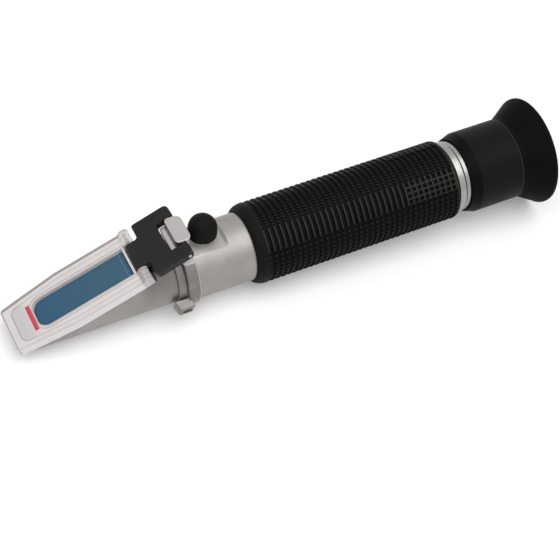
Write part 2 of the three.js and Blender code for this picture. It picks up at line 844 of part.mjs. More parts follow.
const blockGroup = new THREE.Group();
blockGroup.position.set(blockPinX, 0, blockPinZ);
blockGroup.rotation.y = -blockTilt;
blockGroup.add(
  piece('hinge_block', geometryOf(hingeBlock()), blackPlastic),
  piece('block_pin', crossBar(0, 0, blockPinRadius, blockHalfWidth - pinInset), brightMetal),
);

const cap = piece('calibration_cap', calibrationCap(), rubber);
cap.position.set(capX, 0, capBaseZ);

put(
  coverGroup,
  blockGroup,
  cap,
  piece('lens_carriage', geometryOf(lensCarriage()), darkMetal),
  piece('objective_cell', geometryOf(objectiveCell()), darkMetal),
  piece('objective_lens', lens(
    cellX + cellLength / 2, cellRadius - cellWall - gap, objectiveRim, objectiveEdge, objectiveBulge,
  ), lensGlass),
  piece('bimetal_strip', block(
    [cellX, -stripHalfWidth, stripZ],
    [carriageX + carriageLength - postLength - gap, stripHalfWidth, stripZ + stripThickness],
  ), brass),
  piece('return_spring', returnSpring(), brightMetal),
  piece('body_tube', ring(castingEndX + tubeCover + gap, tubeEndX, tubeBore, tubeRadius), satinMetal),
  piece('grip_sleeve', gripSleeve(), rubber),
  piece('end_ring', ring(endRingX, tubeEndX, tubeRadius + gap, endRingRadius), satinMetal),
  piece('light_stop', ring(stopX, stopX + stopLength, stopBore, tubeBore - gap), darkMetal),
  piece('reticle_cell', reticleCell(), darkMetal),
  piece('reticle_glass', disc(reticleX + reticleSeat + gap, reticleX + reticleSeat + gap + reticleThickness,
    reticleRadius), lensGlass),
  piece('reticle_keeper', ring(reticleX + reticleSeat + 2 * gap + reticleThickness,
    reticleX + reticleCellLength, reticleBore, reticleRadius), darkMetal),
  piece('eyepiece_seat', eyepieceSeat(), satinMetal),
  piece('eye_tube', eyeTube(), darkMetal),
  piece('field_lens', lens(fieldLensX, eyeLensRadius, eyeLensRim, eyeLensEdge, eyeLensBulge), lensGlass),
  piece('lens_spacer', ring(fieldLensX + eyeLensEdge / 2 + gap, eyeLensX - eyeLensEdge / 2 - gap,
    eyeTubeBore - lensSeat - gap, eyeTubeBore - gap), darkMetal),
  piece('eye_lens', lens(eyeLensX, eyeLensRadius, eyeLensRim, eyeLensEdge, eyeLensBulge), lensGlass),
  piece('lens_keeper', ring(eyeTubeEndX - keeperLength, eyeTubeEndX, eyeTubeBore - lensSeat - gap,
    eyeTubeBore - gap), darkMetal),
  piece('focus_sleeve', focusSleeve(), blackPlastic),
  piece('eyecup', eyecup(), rubber),
);

export default object;
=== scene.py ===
# %% [markdown]
# # A handheld sugar refractometer
# The instrument is a metal barrel with a rubber grip. A drop of juice lies on a tilted glass prism
# under a clear hinged cover, and the eye looks in through a flared rubber cup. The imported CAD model
# gives the place and size of every piece. This lesson dresses it: each visible piece is drawn again
# as a smooth surface, and each finish is a small shader.

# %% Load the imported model
import math

import bmesh
import bpy
import numpy as np
from mathutils import Matrix, Vector


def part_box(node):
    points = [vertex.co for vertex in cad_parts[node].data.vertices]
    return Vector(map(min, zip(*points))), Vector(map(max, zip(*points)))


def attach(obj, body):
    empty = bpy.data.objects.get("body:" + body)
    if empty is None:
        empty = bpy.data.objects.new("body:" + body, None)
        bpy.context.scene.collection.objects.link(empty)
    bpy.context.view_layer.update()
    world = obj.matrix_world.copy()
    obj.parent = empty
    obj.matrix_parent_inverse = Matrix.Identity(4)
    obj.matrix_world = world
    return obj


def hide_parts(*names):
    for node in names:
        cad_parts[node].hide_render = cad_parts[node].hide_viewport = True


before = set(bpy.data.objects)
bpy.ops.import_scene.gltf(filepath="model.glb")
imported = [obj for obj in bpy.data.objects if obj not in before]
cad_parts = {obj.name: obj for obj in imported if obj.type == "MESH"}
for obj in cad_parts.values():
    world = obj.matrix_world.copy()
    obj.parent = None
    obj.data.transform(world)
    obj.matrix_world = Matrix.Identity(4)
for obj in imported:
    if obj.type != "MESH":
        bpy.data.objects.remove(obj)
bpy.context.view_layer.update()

# %% [markdown]
# ## The drawing frame
# The optical axis is the natural ruler of this object. All pieces are drawn in millimetres, with x
# counted from the seam between the two castings and z from the axis. One function turns such points
# into the model's frame in metres, so no piece needs an object transform.

# %% Drawing frame
MM = 0.001
AXIS_Z = 19.8
CUP_END = 142.3
SEAM_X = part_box("eyecup")[1].x / MM - CUP_END


def placed(points):
    """Adds the seam's place and the axis's height to points in millimetres and returns metres."""
    return (np.asarray(points, float) + (SEAM_X, 0, AXIS_Z)) * MM


print("seam at x", round(SEAM_X, 3), "mm, axis at z", AXIS_Z, "mm")

# %% [markdown]
# ## From loops to a mesh
# Every new piece is a grid: closed loops of points, one after another, joined by four-sided faces.
# The loops come from numpy arrays, so a piece of fifty thousand points is one calculation. A stack
# of loops can end in flat faces, or come back to its first loop as a ring does. Where points of two
# loops meet, as at the pole of a dome, they are merged and the needless faces go.

# %% Loops, shells and pieces
FLAT, JOINED, OPEN = "flat", "joined", "open"


def skin(loops, ends=FLAT):
    """Joins neighbouring loops by quads: point (i, j) meets (i, j+1), (i+1, j+1) and (i+1, j)."""
    loops = np.asarray(loops, float)
    rows, columns = loops.shape[:2]
    index = np.arange(rows * columns).reshape(rows, columns)
    if ends == JOINED:
        index = np.vstack([index, index[:1]])
    here, there = index[:-1], index[1:]
    quads = np.stack([here, np.roll(here, -1, 1), np.roll(there, -1, 1), there], -1)
    faces = quads.reshape(-1, 4).tolist()
    if ends == FLAT:
        faces += [index[0].tolist(), index[-1].tolist()]
    return loops.reshape(-1, 3), faces


def together(shells):
    """Puts several shells in one list of points and one of faces."""
    points, faces, first = [], [], 0
    for shell_points, shell_faces in shells:
        points.append(shell_points)
        faces += [[first + corner for corner in face] for face in shell_faces]
        first += len(shell_points)
    return np.vstack(points), faces


def cleaned(mesh):
    """Merges points that meet, drops faces without area and turns all faces outwards."""
    work = bmesh.new()
    work.from_mesh(mesh)
    bmesh.ops.remove_doubles(work, verts=work.verts, dist=2e-6)
    bmesh.ops.dissolve_degenerate(work, edges=work.edges, dist=1e-7)
    bmesh.ops.recalc_face_normals(work, faces=work.faces)
    work.to_mesh(mesh)
    work.free()


def piece(name, shells, body, finish, replaces=(), crease=38, bevel=0):
    """Makes one mesh object of some shells, smooth except over edges sharper than crease degrees."""
    points, faces = together(shells)
    mesh = bpy.data.meshes.new(name)
    mesh.from_pydata(placed(points).tolist(), [], faces)
    cleaned(mesh)
    mesh.materials.append(finish)
    mesh.polygons.foreach_set("use_smooth", np.ones(len(mesh.polygons), bool))
    thing = bpy.data.objects.new(name, mesh)
    bpy.context.scene.collection.objects.link(thing)
    if bevel:
        edges = thing.modifiers.new("edges", "BEVEL")
        edges.width = bevel * MM
        edges.segments = 3
        edges.limit_method = "ANGLE"
        edges.angle_limit = math.radians(crease)
        edges.harden_normals = True
    else:
        mesh.set_sharp_from_angle(angle=math.radians(crease))
    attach(thing, body)
    if replaces:
        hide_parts(*replaces)
    print(f"{name}: {len(mesh.vertices)} points, {len(mesh.polygons)} faces, rides on {body}")
    return thing


# %% [markdown]
# ## Three ways to a shell
# Most of this instrument was turned on a lathe, so a profile carried round an axis makes most of it.
# The rest was moulded or milled: an outline with rounded corners that is raised from one height to
# another. Both start from a few corners. The helper softens them by arcs and puts one more point
# beside each arc, which keeps the flat next to a rounded edge flat when the shading is smoothed.

# %% Corners, outlines and profiles
ROUND_STEPS = 6
GUARD = 0.12


def softened(corners, radii, closed=True, spacing=None):
    """Replaces each corner by an arc of its radius, whose centre is radius / sin(half angle) inside.

    The arc starts radius / tan(half angle) before the corner and ends as far behind it. A guard
    point follows on both sides. With a spacing, longer straight runs get even points in between.
    """
    corners = np.asarray(corners, float)
    radii = np.broadcast_to(radii, len(corners))
    before, after = np.roll(corners, 1, 0), np.roll(corners, -1, 0)
    runs = []
    for i, (corner, radius) in enumerate(zip(corners, radii)):
        if radius == 0 or (not closed and i in (0, len(corners) - 1)):
            runs.append(corner[None])
            continue
        back, ahead = before[i] - corner, after[i] - corner
        back, ahead = back / np.linalg.norm(back), ahead / np.linalg.norm(ahead)
        half = math.acos(np.clip(back @ ahead, -1, 1)) / 2
        reach = radius / math.tan(half)
        middle = (back + ahead) / np.linalg.norm(back + ahead)
        centre = corner + middle * radius / math.sin(half)
        swing = np.linspace(half - math.pi / 2, math.pi / 2 - half, ROUND_STEPS + 1)[:, None]
        aside = (ahead - back) / np.linalg.norm(ahead - back)
        arc = centre + radius * (np.sin(swing) * aside - np.cos(swing) * middle)
        guard_in, guard_out = corner + back * (reach + GUARD), corner + ahead * (reach + GUARD)
        runs += [guard_in[None], arc, guard_out[None]]
    line = np.vstack(runs)
    if spacing is None:
        return line
    ring = np.vstack([line, line[:1]]) if closed else line
    place = np.concatenate([[0], np.cumsum(np.linalg.norm(np.diff(ring, axis=0), axis=1))])
    even = np.arange(spacing, place[-1], spacing)
    near = np.abs(even[:, None] - place).min(1) < spacing / 3
    places = np.union1d(place, even[~near])
    dense = np.column_stack([np.interp(places, place, ring[:, k]) for k in range(2)])
    return dense[:-1] if closed else dense


def grown(outline, distance, closed=True):
    """Moves an outline outwards: each point goes along the mean of its edges' normals, lengthened
    by one over the cosine of half its turn, so that the edges stay parallel."""
    ahead = np.roll(outline, -1, 0) - outline
    normal = np.column_stack([ahead[:, 1], -ahead[:, 0]]) / np.linalg.norm(ahead, axis=1)[:, None]
    behind = np.roll(normal, 1, 0)
    if not closed:
        normal[-1], behind[0] = normal[-2], normal[0]
    mean = normal + behind
    mean *= 2 / (mean ** 2).sum(1)[:, None]
    (x, y), (next_x, next_y) = outline.T, np.roll(outline, -1, 0).T
    turns_left = (x * next_y - y * next_x).sum() > 0
    return outline + (distance if turns_left else -distance) * mean


def bench(origin=(0, 0, 0), first=(1, 0, 0), second=(0, 1, 0), third=(0, 0, 1)):
    """Returns a function from bench places to the drawing frame: origin + a·first + b·second + c·third."""
    axes = np.array([first, second, third], float)
    return lambda points: np.asarray(points, float) @ axes + origin


def raised(levels, onto=bench(), ends=FLAT):
    """Stacks outlines: each level is (outline, height), and point j of one joins point j of the next."""
    loops = [np.column_stack([outline, np.full(len(outline), height)]) for outline, height in levels]
    return skin(onto(np.array(loops)), ends)


def turned(profile, along=(1, 0, 0), centre=(0, 0, 0), columns=128, ends=JOINED):
    """Carries a profile of (place, radius) round an axis: centre + place·along + radius·(cos t, sin t)."""
    along = np.array(along, float)
    side = np.cross(along, (0, 1, 0) if abs(along[1]) < 0.9 else (0, 0, 1))
    side /= np.linalg.norm(side)
    turn = np.linspace(0, 2 * math.pi, columns, endpoint=False)[:, None]
    circle = np.cos(turn) * side + np.sin(turn) * np.cross(along, side)
    place, radius = np.asarray(profile, float).T[:, :, None, None]
    return skin(centre + place * along + radius * circle, ends)


print("helpers ready: softened, grown, bench, raised, turned")

# %% [markdown]
# ## Shader maths as arithmetic
# A finish is a small sum: a base colour, some noise at the right scale, a mask. Writing that with
# node calls hides the sum, so a small class wraps a socket and lets Python's own signs add the
# nodes. A second class holds one material and makes any other node from its type and its sockets.

# %% Signals and finishes
class Signal:
    """An output socket that can be added, multiplied and compared like a number."""

    def __init__(self, finish, socket):
        self.finish, self.socket = finish, socket

    def maths(self, operation, *terms):
        """A Math node of one operation on the given terms."""
        return self.finish.node("ShaderNodeMath", {"operation": operation}, dict(enumerate(terms)))

    def __add__(self, other):
        return self.maths("ADD", self, other)

    def __sub__(self, other):
        return self.maths("SUBTRACT", self, other)

    def __rsub__(self, other):
        return self.maths("SUBTRACT", other, self)

    def __mul__(self, other):
        return self.maths("MULTIPLY", self, other)

    __radd__, __rmul__ = __add__, __mul__

    def __abs__(self):
        return self.maths("ABSOLUTE", self)

    def root(self):
        """The square root."""
        return self.maths("SQRT", self)

    def at_least(self, other):
        """The larger of two signals."""
        return self.maths("MAXIMUM", self, other)

    def rises(self, low, high):
        """Goes smoothly from 0 at low to 1 at high, or falls where high is the smaller."""
        limits = {1: low, 2: high} if low < high else {1: high, 2: low, 3: 1.0, 4: 0.0}
        smooth = {"interpolation_type": "SMOOTHSTEP"}
        return self.finish.node("ShaderNodeMapRange", smooth, {0: self, **limits})


class Nodes:
    """The nodes of one material or world."""

    def __init__(self, owner):
        owner.use_nodes = True
        self.tree = owner.node_tree

    def feed(self, node, sockets):
        """Links each signal to its socket and writes each plain value on it."""
        for key, value in sockets.items():
            socket = node.inputs[key]
            if isinstance(value, Signal):
                self.tree.links.new(value.socket, socket)
            elif isinstance(value, tuple) and socket.type == "RGBA":
                socket.default_value = (*value, 1)
            else:
                socket.default_value = value

    def node(self, kind, settings=None, sockets=None, output=0):
        """Makes a node of a type, sets it up first, feeds its sockets and returns one output."""
        made = self.tree.nodes.new(kind)
        for key, value in (settings or {}).items():
            setattr(made, key, value)
        self.feed(made, sockets or {})
        return Signal(self, made.outputs[output])

    def seen(self):
        """1 for what the camera sees, straight, in a reflection or through glass, and 0 for other light."""
        camera, glossy, through = (self.node("ShaderNodeLightPath", output=name)
                                   for name in ("Is Camera Ray", "Is Glossy Ray", "Is Transmission Ray"))
        return camera.at_least(glossy).at_least(through)


class Finish(Nodes):
    """One material: constants go on the Principled shader's sockets, signals are linked to them."""

    def __init__(self, name, **constants):
        self.material = bpy.data.materials.new(name)
        super().__init__(self.material)
        self.surface = self.tree.nodes["Principled BSDF"]
        self.set(**constants)

    def noise(self, size, detail=2, stretch=(1, 1, 1)):
        """Soft noise whose blots are about size millimetres across, drawn out along an axis."""
        place = self.node("ShaderNodeTexCoord", output="Object")
        scaled = self.node("ShaderNodeMapping", {"vector_type": "POINT"},
                           {"Vector": place, "Scale": tuple(1 / (size * MM * part) for part in stretch)})
        return self.node("ShaderNodeTexNoise", {}, {"Vector": scaled, "Scale": 1.0, "Detail": detail})

    def along(self, direction, origin=(0, 0, 0)):
        """Distance in millimetres from origin (drawing frame) along a direction."""
        place = self.node("ShaderNodeTexCoord", output="Object")
        start = tuple(float(c) for c in placed(origin))
        offset = self.node("ShaderNodeVectorMath", {"operation": "SUBTRACT"}, {0: place, 1: start})
        dot = self.node("ShaderNodeVectorMath", {"operation": "DOT_PRODUCT"},
                        {0: offset, 1: tuple(float(c) for c in direction)}, output="Value")
        return dot * (1 / MM)

    def mixed(self, share, first, second):
        """A colour between two colours."""
        return self.node("ShaderNodeMix", {"data_type": "RGBA"}, {0: share, 6: first, 7: second}, output=2)

    def relief(self, height, depth):
        """A bump of that depth in millimetres, on the shader's normal."""
        self.set(normal=self.node("ShaderNodeBump", {}, {"Height": height, "Distance": depth * MM}))

    def set(self, **sockets):
        """Feeds the Principled shader's sockets by their names in small letters."""
        names = {socket.name.lower(): socket.name for socket in self.surface.inputs}
        self.feed(self.surface, {names[key.replace("_", " ")]: value for key, value in sockets.items()})


print("shader classes ready")

# %% [markdown]
# ## The finishes
# The castings are plated and satin: most of their look is what they reflect, broken up by a fine
# grain. The milled flat is frosted, so it shines less and scatters more, and light and shade are
# painted on its colour: lighter at the front, darker towards the rear. Near the black hinge a dark
# reflection is painted on the plated colour, shade is painted on the flange's sides, and a highlight
# along the flange's rear edge. Turned parts have rings of tool marks instead. Plastic and rubber are
# dark, and differ in how sharp their gloss is. The grip has painted shade in its grooves and painted
# highlights on its crests, stronger on top; the sleeve has painted shade on its chamfer, and
# highlights are painted along its rear edge and the cup's rim. Noise in colour, roughness and bump
# keeps every finish from being flat, and each scale is in millimetres, to be checked against the
# photograph.

# %% Metals
FLAT_Z, FLANGE_END, RAMP_TO = 10.8, 4.3, 17.7
satin = Finish("satin_plate")
cloud, grain = satin.noise(9), satin.noise(0.22)
length, across, height = (satin.along(direction) for direction in ((1, 0, 0), (0, 1, 0), (0, 0, 1)))
before_ramp_end = length.rises(RAMP_TO + 0.15, RAMP_TO - 0.05)
on_flat = height.rises(FLAT_Z - 0.18, FLAT_Z - 0.06) * length.rises(-0.1, 0.1) * before_ramp_end
before_flange_end = length.rises(FLANGE_END + 0.2, FLANGE_END - 0.1)
# Painted reflection of the black hinge: the casting round it is mixed towards a dark colour.
hinge_painted_reflection = height.rises(-5, 9) * length.rises(-19, -12) * before_flange_end * (1 - on_flat)
plating_and_painted_light = satin.mixed(cloud.rises(0.3, 0.7), (0.3, 0.283, 0.268), (0.345, 0.325, 0.308))
plating_and_painted_light = satin.mixed(hinge_painted_reflection * 0.6, plating_and_painted_light, (0.1, 0.094, 0.089))
# Painted shade: the flange's sides are mixed towards a darker colour.
on_flange = length.rises(FLANGE_END + 0.3, FLANGE_END + 0.1) * length.rises(-5.2, -5)
plating_and_painted_light = satin.mixed(abs(across).rises(12.4, 13.2) * on_flange * 0.5, plating_and_painted_light, (0.13, 0.12, 0.105))
# Painted highlight: a light line along the flange's rear edge.
painted_flange_highlight = abs(length - (FLANGE_END - 0.1)).rises(0.3, 0.12) * 0.55
plating_and_painted_light = satin.mixed(painted_flange_highlight, plating_and_painted_light, (0.72, 0.7, 0.68))
# The flat's colour with painted light and shade: lighter at the front, darker towards the rear.
flat_tone_and_painted_shade = satin.mixed(length.rises(7, 13), (0.68, 0.647, 0.62), (0.43, 0.408, 0.392))
satin.set(base_color=satin.mixed(on_flat, plating_and_painted_light, flat_tone_and_painted_shade), metallic=0.7 - on_flat * 0.6,
          roughness=grain * 0.12 + cloud * 0.08 + 0.36)
satin.relief(grain, 0.006)

lathe = Finish("turned_metal", metallic=1.0)
tool = lathe.noise(0.16, 1, (1, 60, 60))
lathe.set(base_color=lathe.mixed(lathe.noise(7), (0.28, 0.268, 0.255), (0.38, 0.366, 0.348)),
          roughness=tool * 0.2 + 0.22)
lathe.relief(tool, 0.004)

brushed = Finish("brushed_steel", metallic=1.0)
line = brushed.noise(0.12, 2, (1, 40, 1))
brushed.set(base_color=brushed.mixed(line, (0.34, 0.33, 0.315), (0.5, 0.49, 0.47)),
            roughness=line * 0.2 + 0.2)
brushed.relief(line, 0.004)

ground = Finish("ground_face", metallic=1.0)
scratch = ground.noise(0.14, 2, (1, 25, 25))
ground.set(base_color=ground.mixed(scratch, (0.38, 0.363, 0.352), (0.52, 0.5, 0.485)),
           roughness=scratch * 0.2 + 0.25)
ground.relief(scratch, 0.005)

blackened = Finish("blackened_metal", metallic=0.6)
blackened.set(base_color=blackened.mixed(blackened.noise(1.2), (0.03, 0.031, 0.033), (0.055, 0.056, 0.058)),
              roughness=blackened.noise(0.3) * 0.2 + 0.45)

brass = Finish("turned_brass", metallic=1.0)
tarnish = brass.noise(0.8)
brass.set(base_color=brass.mixed(tarnish, (0.3, 0.19, 0.055), (0.46, 0.31, 0.09)),
          roughness=tarnish * 0.2 + 0.22)
print("metals:", [metal.material.name for metal in (satin, lathe, brushed, ground, blackened, brass)])

# %% Plastics, rubber and print
plastic = Finish("black_plastic", specular_ior_level=0.18)
speck = plastic.noise(0.35)
plastic.set(base_color=plastic.mixed(plastic.noise(6), (0.009, 0.01, 0.0078), (0.014, 0.015, 0.0118)),
            roughness=speck * 0.14 + 0.32)
plastic.relief(speck, 0.008)

SLEEVE_HIGHLIGHT_X, TO_CHAMFER = 130.75, 16.4
moulded = Finish("sleeve_plastic", specular_ior_level=0.06)
fleck = moulded.noise(0.35)
sleeve_tone_and_painted_light = moulded.mixed(moulded.noise(6), (0.0042, 0.0045, 0.004), (0.0078, 0.008, 0.0074))
from_sleeve_highlight = moulded.along((1, 0, 0), (SLEEVE_HIGHLIGHT_X, 0, 0))
# Painted shade on the sleeve's front chamfer: mixed towards near black.
painted_chamfer_shade = from_sleeve_highlight.rises(-TO_CHAMFER, -TO_CHAMFER - 1) * 0.85
sleeve_tone_and_painted_light = moulded.mixed(painted_chamfer_shade, sleeve_tone_and_painted_light, (0.0006, 0.0008, 0.0006))
# Painted highlight: a grey line along the sleeve's rear edge.
painted_sleeve_highlight = abs(from_sleeve_highlight).rises(0.4, 0.1) * 0.6
moulded.set(base_color=moulded.mixed(painted_sleeve_highlight, sleeve_tone_and_painted_light, (0.03, 0.032, 0.03)),
            roughness=fleck * 0.14 + 0.42)
moulded.relief(fleck, 0.008)

GRIP_R, RIB_START = 14.5, 29.8
rubber = Finish("black_rubber", specular_ior_level=0.07)
skin_grain = rubber.noise(0.3)
rubber_tone_and_painted_shade = rubber.mixed(rubber.noise(5), (0.0036, 0.0041, 0.0034), (0.0072, 0.0077, 0.0066))
aside, above = rubber.along((0, 1, 0)), rubber.along((0, 0, 1))
off_axis = (aside * aside + above * above).root()
on_ribs = rubber.along((1, 0, 0)).rises(RIB_START - 0.5, RIB_START - 0.1)
# Painted shade in the grooves between the ribs.
painted_groove_shade = on_ribs * off_axis.rises(GRIP_R - 0.15, GRIP_R - 0.4) * 0.75
rubber_tone_and_painted_shade = rubber.mixed(painted_groove_shade, rubber_tone_and_painted_shade, (0.0006, 0.0008, 0.0006))
# Painted highlight on the rib crests, stronger towards the top.
painted_crest_highlight = on_ribs * off_axis.rises(GRIP_R - 0.15, GRIP_R - 0.02) * (above.rises(2, 13) * 0.45 + 0.25)
rubber.set(base_color=rubber.mixed(painted_crest_highlight, rubber_tone_and_painted_shade, (0.034, 0.037, 0.032)),
           roughness=skin_grain * 0.16 + 0.5)
rubber.relief(skin_grain, 0.012)

soft = Finish("soft_rubber", specular_ior_level=0.04)
soft_grain = soft.noise(0.3)
soft_tone = soft.mixed(soft.noise(5), (0.0022, 0.0026, 0.0021), (0.0042, 0.0046, 0.0038))
# Painted highlight: a grey line along the cup's rim.
painted_rim_highlight = soft.along((1, 0, 0), (CUP_END, 0, 0)).rises(-0.5, -0.1) * 0.6
soft.set(base_color=soft.mixed(painted_rim_highlight, soft_tone, (0.05, 0.053, 0.048)), roughness=soft_grain * 0.16 + 0.5)
soft.relief(soft_grain, 0.012)

red = Finish("red_print")
red.set(base_color=red.mixed(red.noise(0.5), (0.48, 0.035, 0.065), (0.6, 0.055, 0.1)),
        roughness=red.noise(0.4) * 0.1 + 0.4)

cement = Finish("pale_seal")
cement.set(base_color=cement.mixed(cement.noise(0.6), (0.72, 0.68, 0.66), (0.82, 0.78, 0.76)),
           roughness=cement.noise(0.4) * 0.15 + 0.55)
print("dark and plain:", [dull.material.name for dull in (plastic, moulded, rubber, soft, red, cement)])

# %% [markdown]
# ## The clear cover's plastic
# Clear moulded plastic is hard to light: what one sees is the dark lines where its walls bend the
# light, and a milky film where its underside is rough. True refraction would need many samples and
# gives those lines by luck. So the film is an opacity and the lines are drawn, both from the distance
# to the cover's edge and to the prism's outline, which are short formulas in the deck's own directions.
# Over the prism the film is left out, because even a thin one showed as specks on the dark glass.

# %% Glass and clear plastic
TILT = math.radians(21.2)
HEEL = np.array((-16.7, 0, 11.3))
ALONG_DECK, OFF_DECK = (math.cos(TILT), 0, math.sin(TILT)), (-math.sin(TILT), 0, math.cos(TILT))
ACROSS = (0, 1, 0)
COVER_HALF, COVER_FULL, COVER_SLOPE, COVER_FRONT = 11.3, -23.6, 0.105, -45.5
FACE_TIP, FACE_HALF, FACE_CORNER = -35.3, 5.7, 3.8


def stripe(distance, place, width):
    """1 on a line of that width at a distance, soft at both sides."""
    return abs(distance - place).rises(width / 2 + 0.08, width / 2 - 0.08)


clear = Finish("clear_plastic", specular_ior_level=0.4, ior=1.49)
u, v = clear.along(ALONG_DECK, HEEL), clear.along(ACROSS, HEEL)
taper = (COVER_FULL - u).at_least(0.0) * COVER_SLOPE
from_side = COVER_HALF - abs(v) - taper
from_front = u - COVER_FRONT
side_corner, front_corner = (4.7 - from_side).at_least(0.0), (5.3 - from_front).at_least(0.0)
in_pocket = 2.2 - (side_corner * side_corner + front_corner * front_corner).root()
far_half = v.rises(-1, 1)
to_window = (abs(v) - (FACE_HALF - FACE_CORNER)).at_least(0.0)
to_tip = (FACE_TIP + FACE_CORNER - u).at_least(0.0)
from_window = (to_window * to_window + to_tip * to_tip).root() - FACE_CORNER
in_window = from_window.rises(0.1, -0.1) * u.rises(0.5, 0.1)
edge_lines = stripe(from_side, 0.55, 1.0) * (far_half * 0.6 + 0.15)
edge_lines = edge_lines.at_least(stripe(in_pocket, 0.0, 0.4) * (from_front.rises(9, 4) * 0.25 + 0.25))
edge_lines = edge_lines.at_least(stripe(from_front, 0.4, 0.5) * 0.5)
edge_lines = edge_lines.at_least(stripe(from_window, 1.1, 0.35) * 0.5)
edge_lines = edge_lines.at_least(stripe(from_window, 0.3, 0.25) * 0.55)
milk_and_painted_light = clear.mixed(clear.noise(3), (0.74, 0.68, 0.68), (0.82, 0.77, 0.765))
# Greyer inside the pocket towards the front, and a painted highlight: a lighter stripe along the near
# side's edge.
milk_and_painted_light = clear.mixed(in_pocket.rises(-0.2, 0.2) * from_front.rises(10, 5) * 0.7, milk_and_painted_light, (0.6, 0.595, 0.58))
milk_and_painted_light = clear.mixed(stripe(from_side, 0.0, 0.4) * (1 - far_half), milk_and_painted_light, (0.93, 0.9, 0.9))
clear.set(base_color=clear.mixed(edge_lines, milk_and_painted_light, (0.16, 0.16, 0.16)),
          alpha=(1 - in_window) * (0.82 - u.rises(0.8, 1.6) * 0.35),
          roughness=clear.noise(2.5) * 0.05 + 0.08)

glass = Finish("prism_glass", specular_ior_level=0.15)
depth = glass.along(ALONG_DECK, HEEL)
rear_line = stripe(depth, -1.7, 0.2) * 0.5
blue = glass.mixed(depth.rises(-37, 0), (0.038, 0.104, 0.185), (0.044, 0.112, 0.166))
glass.set(base_color=glass.mixed(rear_line, blue, (0.2, 0.3, 0.38)), roughness=glass.noise(4) * 0.06 + 0.07)

lens_glass = Finish("lens_glass", transmission_weight=1.0, ior=1.52, base_color=(0.9, 0.95, 0.97))
lens_glass.set(roughness=lens_glass.noise(5) * 0.02 + 0.01)

print("clear:", [see.material.name for see in (clear, glass, lens_glass)])

# %% [markdown]
# ## The rubber grip
# The grip is a moulded sleeve with ribs round it. On top and below, grooves cut the ribs into small
# knobs, and on both flanks they stay whole, until near the rear short bars join them. Bump would
# vanish at the outline, so all this is real: the turn is divided in cells, each with six points.

# %% Grip
TUBE_R = 12.0
GRIP_X, GRIP_END = 25.7, 105.1
GRIP_LIP, GRIP_ROUND, GRIP_REAR_ROUND = 12.45, 3.9, 1
RIB_PITCH, RIBS, RIB_DEPTH, BARS_X = 2.17, 34, 0.65, 84.0
CELL_PLACES = np.array([0, 0.14, 0.25, 0.50, 0.75, 0.86])
CELL_FLOOR = np.array([0, 0, 1, 1, 1, 0])
FLANK_FROM, FLANK_TO = 24.5, 56.0
ZONES = ((-FLANK_FROM, FLANK_FROM, 10, True), (FLANK_FROM, FLANK_TO, 4, False),
         (FLANK_TO, 360 - FLANK_TO, 32, True), (360 - FLANK_TO, 360 - FLANK_FROM, 4, False))


def ribbed():
    """Radius = grip radius - depth · hollow, with floor = 1 between ribs or bars and 0 on them.

    On knobs hollow = 1 - (1 - floor(x)) · (1 - floor(angle)), on the flanks floor(x), and there
    behind the first bars floor(x) · floor(angle). In front the sleeve bends in along an ellipse.
    """
    turn = np.linspace(0, math.pi / 2, 12)
    bend = np.column_stack([GRIP_X + GRIP_ROUND * (1 - np.cos(turn)),
                            GRIP_LIP + (GRIP_R - GRIP_LIP) * np.sin(turn)])
    front = np.vstack([(GRIP_X, TUBE_R), bend, (RIB_START, GRIP_R)])
    rear = softened([(GRIP_END - 1.2, GRIP_R), (GRIP_END, GRIP_R), (GRIP_END, TUBE_R)],
                    [0, GRIP_REAR_ROUND, 0], closed=False)
    ribs_x = (RIB_START + RIB_PITCH * (np.arange(RIBS)[:, None] + CELL_PLACES)).ravel()
    place = np.concatenate([front[:-1, 0], ribs_x, rear[:, 0]])
    radius = np.concatenate([front[:-1, 1], np.full(len(ribs_x), GRIP_R), rear[:, 1]])
    plain_front, plain_rear = np.zeros(len(front) - 1), np.zeros(len(rear))
    floor_x = np.concatenate([plain_front, np.tile(CELL_FLOOR, RIBS), plain_rear])[:, None]
    ribbed_x = np.concatenate([plain_front, np.ones(len(ribs_x)), plain_rear])[:, None]
    degrees = [low + (high - low) / cells * (np.arange(cells)[:, None] + CELL_PLACES)
               for low, high, cells, _ in ZONES]
    turn = np.radians(np.concatenate([zone.ravel() for zone in degrees]))
    floor_turn = np.tile(CELL_FLOOR, sum(cells for _, _, cells, _ in ZONES))
    knobs = np.concatenate([np.full(6 * cells, cut) for _, _, cells, cut in ZONES])
    flank = floor_x * np.where(place[:, None] > BARS_X, floor_turn, 1)
    hollow = np.where(knobs, 1 - (1 - floor_x) * (1 - floor_turn), flank) * ribbed_x
    radius = radius[:, None] - RIB_DEPTH * hollow
    x = np.broadcast_to(place[:, None], radius.shape)
    return skin(np.dstack([x, radius * np.sin(turn), radius * np.cos(turn)]), JOINED)


piece("grip_rubber", [ribbed()], "barrel", rubber.material, ["grip_sleeve"])

# %% [markdown]
# ## The turned metal behind the grip
# Two plain rings follow the grip: the end ring, and the flange of the seat on which the eyepiece
# slides. Each is one profile with small rounds, because a lathe hand breaks every edge.

